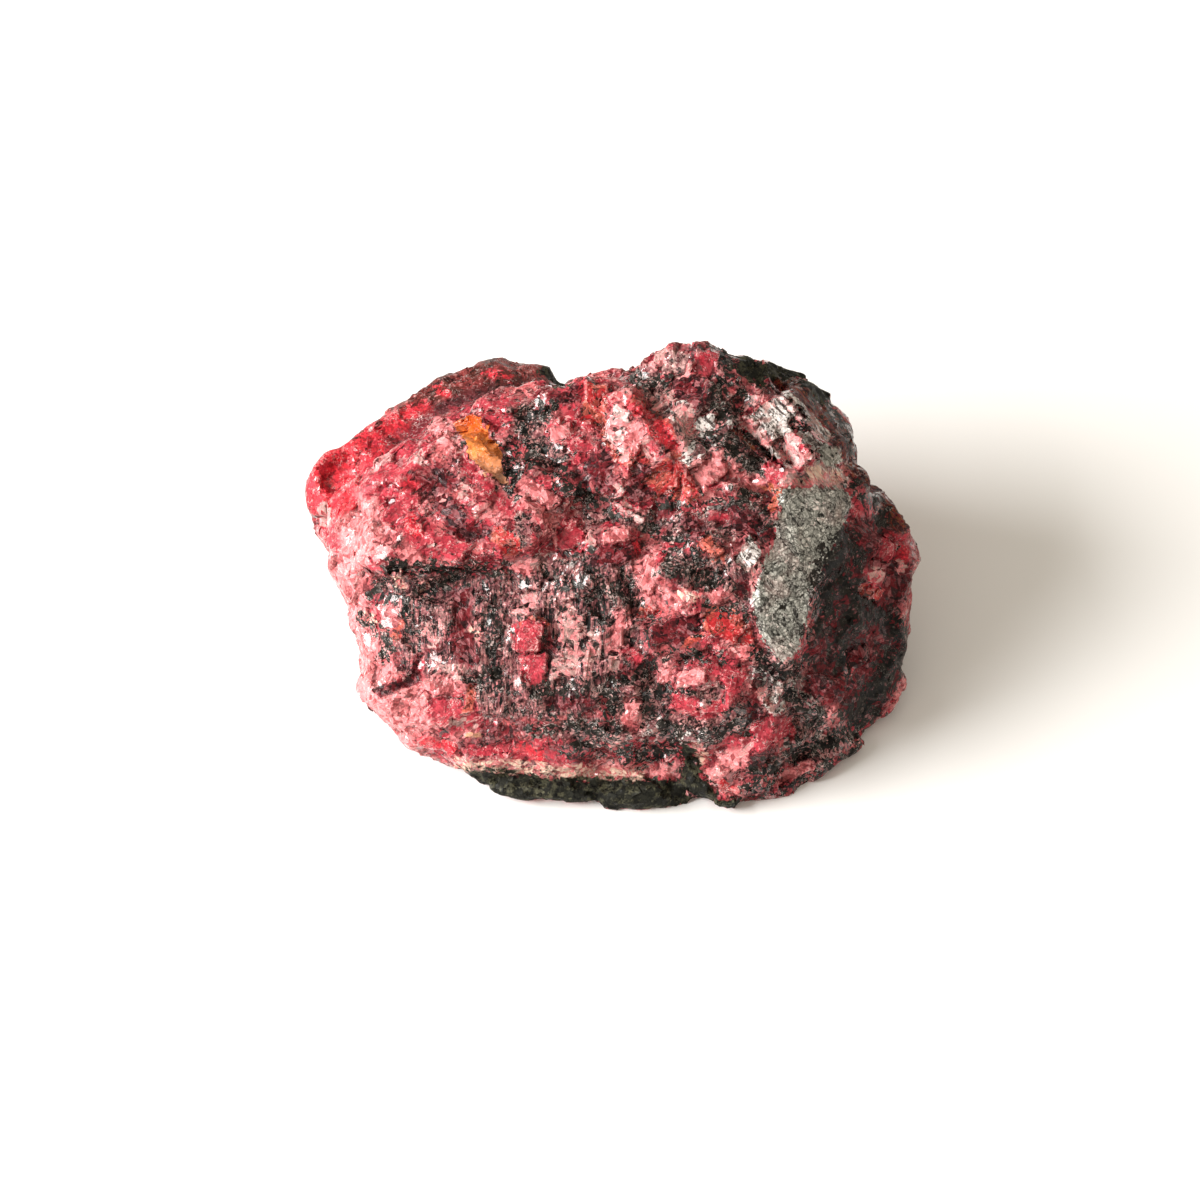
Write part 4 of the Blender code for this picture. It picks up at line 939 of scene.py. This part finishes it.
# the brightest crystals get a pale painted highlight
body = mix(body, FLASH_HIGHLIGHT, above(mixed, 0.98, 0.06) * busy * (1 - dark * 0.8) * (1 - crusted) * 0.35)
tone = 0.24 + above(mixed, 0.68, 0.62) * 1.08 - below(mixed, 0.5, 0.08) * (1 - rosy * 0.8) * 0.2
tone = tone + (pale * 0.2 + rosy * 0.11 + stained * 0.6).clamped() * (1 - tone)
body = vector_math("SCALE", body, tone)

# gloss: fresh cleavage shines, wine and oxide less, and crust not at all
shiny = above(small_other + tiny_value * 0.2, 0.8, 0.04)
gloss = shiny * (1 - crusted) * (1 - dark * 0.8) * (1 - smoky_shade) * (1 - oxide_and_ledge_shadow * 0.3)
dull = (0.46 + fine * 0.12 - shiny * 0.26 - rosy * 0.12 + crusted * 0.2 - oxide_and_ledge_shadow * 0.14).clamped()

# relief that is finer than the skin: each crystal's tilted face, fibres and stripes
relief = coarse_plane * 0.3 + small_plane * 0.44 + tiny_plane * 0.3 + fine * 0.01 + cleavage * 0.016
relief = relief + splinters * fibrous * 0.1 + slope_grain * slaty * 0.05
relief = relief * (0.45 + busy * 0.55) * (1 - on_plate * 0.7) + fine * 0.02
bump = nodes.new("ShaderNodeBump")
bump.inputs["Strength"].default_value = 1.0
bump.inputs["Distance"].default_value = MM
links.new(relief.socket, bump.inputs["Height"])
links.new(bump.outputs["Normal"], surface.inputs["Normal"])
for field, socket in ((body, "Base Color"), (dull, "Roughness"), (gloss, "Coat Weight")):
    links.new(field.socket, surface.inputs[socket])
for socket, value in (("IOR", 1.6), ("Specular IOR Level", 0.12), ("Coat Roughness", 0.12)):
    surface.inputs[socket].default_value = value

stone.data.materials.clear()
stone.data.materials.append(material)
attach(stone, "root")
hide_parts("rough_rhodonite")


# The table: white card under and behind the stone, far enough to fill every view.
bpy.ops.object.select_all(action="DESELECT")
bpy.ops.mesh.primitive_plane_add(size=4.0)
floor = bpy.context.object
floor.name = "white_table"
card = bpy.data.materials.new("white_card")
card.use_nodes = True
card_look = card.node_tree.nodes["Principled BSDF"].inputs
card_look["Base Color"].default_value = (0.93, 0.93, 0.93, 1.0)
card_look["Roughness"].default_value = 0.8
floor.data.materials.append(card)


# Light: a low window on the left and white walls all round.
window = bpy.data.lights.new("window", "AREA")
window.shape = "RECTANGLE"
window.size = 0.3
window.size_y = 0.22
window.energy = 4.0
window.color = (1.0, 0.985, 0.97)
window_place = bpy.data.objects.new("window", window)
add_to_scene(window_place)
window_place.location = (-0.36, -0.06, 0.22)
aim = Vector((0, 0, 0.008)) - window_place.location
window_place.rotation_euler = aim.to_track_quat("-Z", "Y").to_euler()

room = bpy.data.worlds.new("white_room")
room.use_nodes = True
room_light = room.node_tree.nodes["Background"].inputs
room_light["Color"].default_value = (1.0, 0.91, 0.77, 1.0)
room_light["Strength"].default_value = 0.58
bpy.context.scene.world = room
bpy.context.scene.view_settings.view_transform = "Standard"


# Camera: looks down at the show face from the front, and the stone fills half the picture's width.
CAMERA_HEIGHT_ANGLE = math.radians(52)
PICTURE_PIXELS = 1200
PIXELS_PER_MM = 16
FACE_MIDDLE_PIXEL = (611, 582)

camera = bpy.data.cameras.new("camera")
camera.sensor_width = 36
camera.clip_start = 0.01
camera.lens = camera.sensor_width * EYE_DISTANCE / (PICTURE_PIXELS / PIXELS_PER_MM)
camera_place = bpy.data.objects.new("camera", camera)
add_to_scene(camera_place)
back = Vector((0, -math.cos(CAMERA_HEIGHT_ANGLE), math.sin(CAMERA_HEIGHT_ANGLE)))
upward = Vector((0, math.sin(CAMERA_HEIGHT_ANGLE), math.cos(CAMERA_HEIGHT_ANGLE)))
left_by = (FACE_MIDDLE_PIXEL[0] - PICTURE_PIXELS / 2) / PIXELS_PER_MM
down_by = (PICTURE_PIXELS / 2 - FACE_MIDDLE_PIXEL[1]) / PIXELS_PER_MM
aimed_at = (FACE_MIDDLE - Vector((left_by, 0, 0)) - upward * down_by) * MM
camera_place.location = aimed_at + back * EYE_DISTANCE * MM
camera_place.rotation_euler = (-back).to_track_quat("-Z", "Y").to_euler()
bpy.context.scene.camera = camera_place
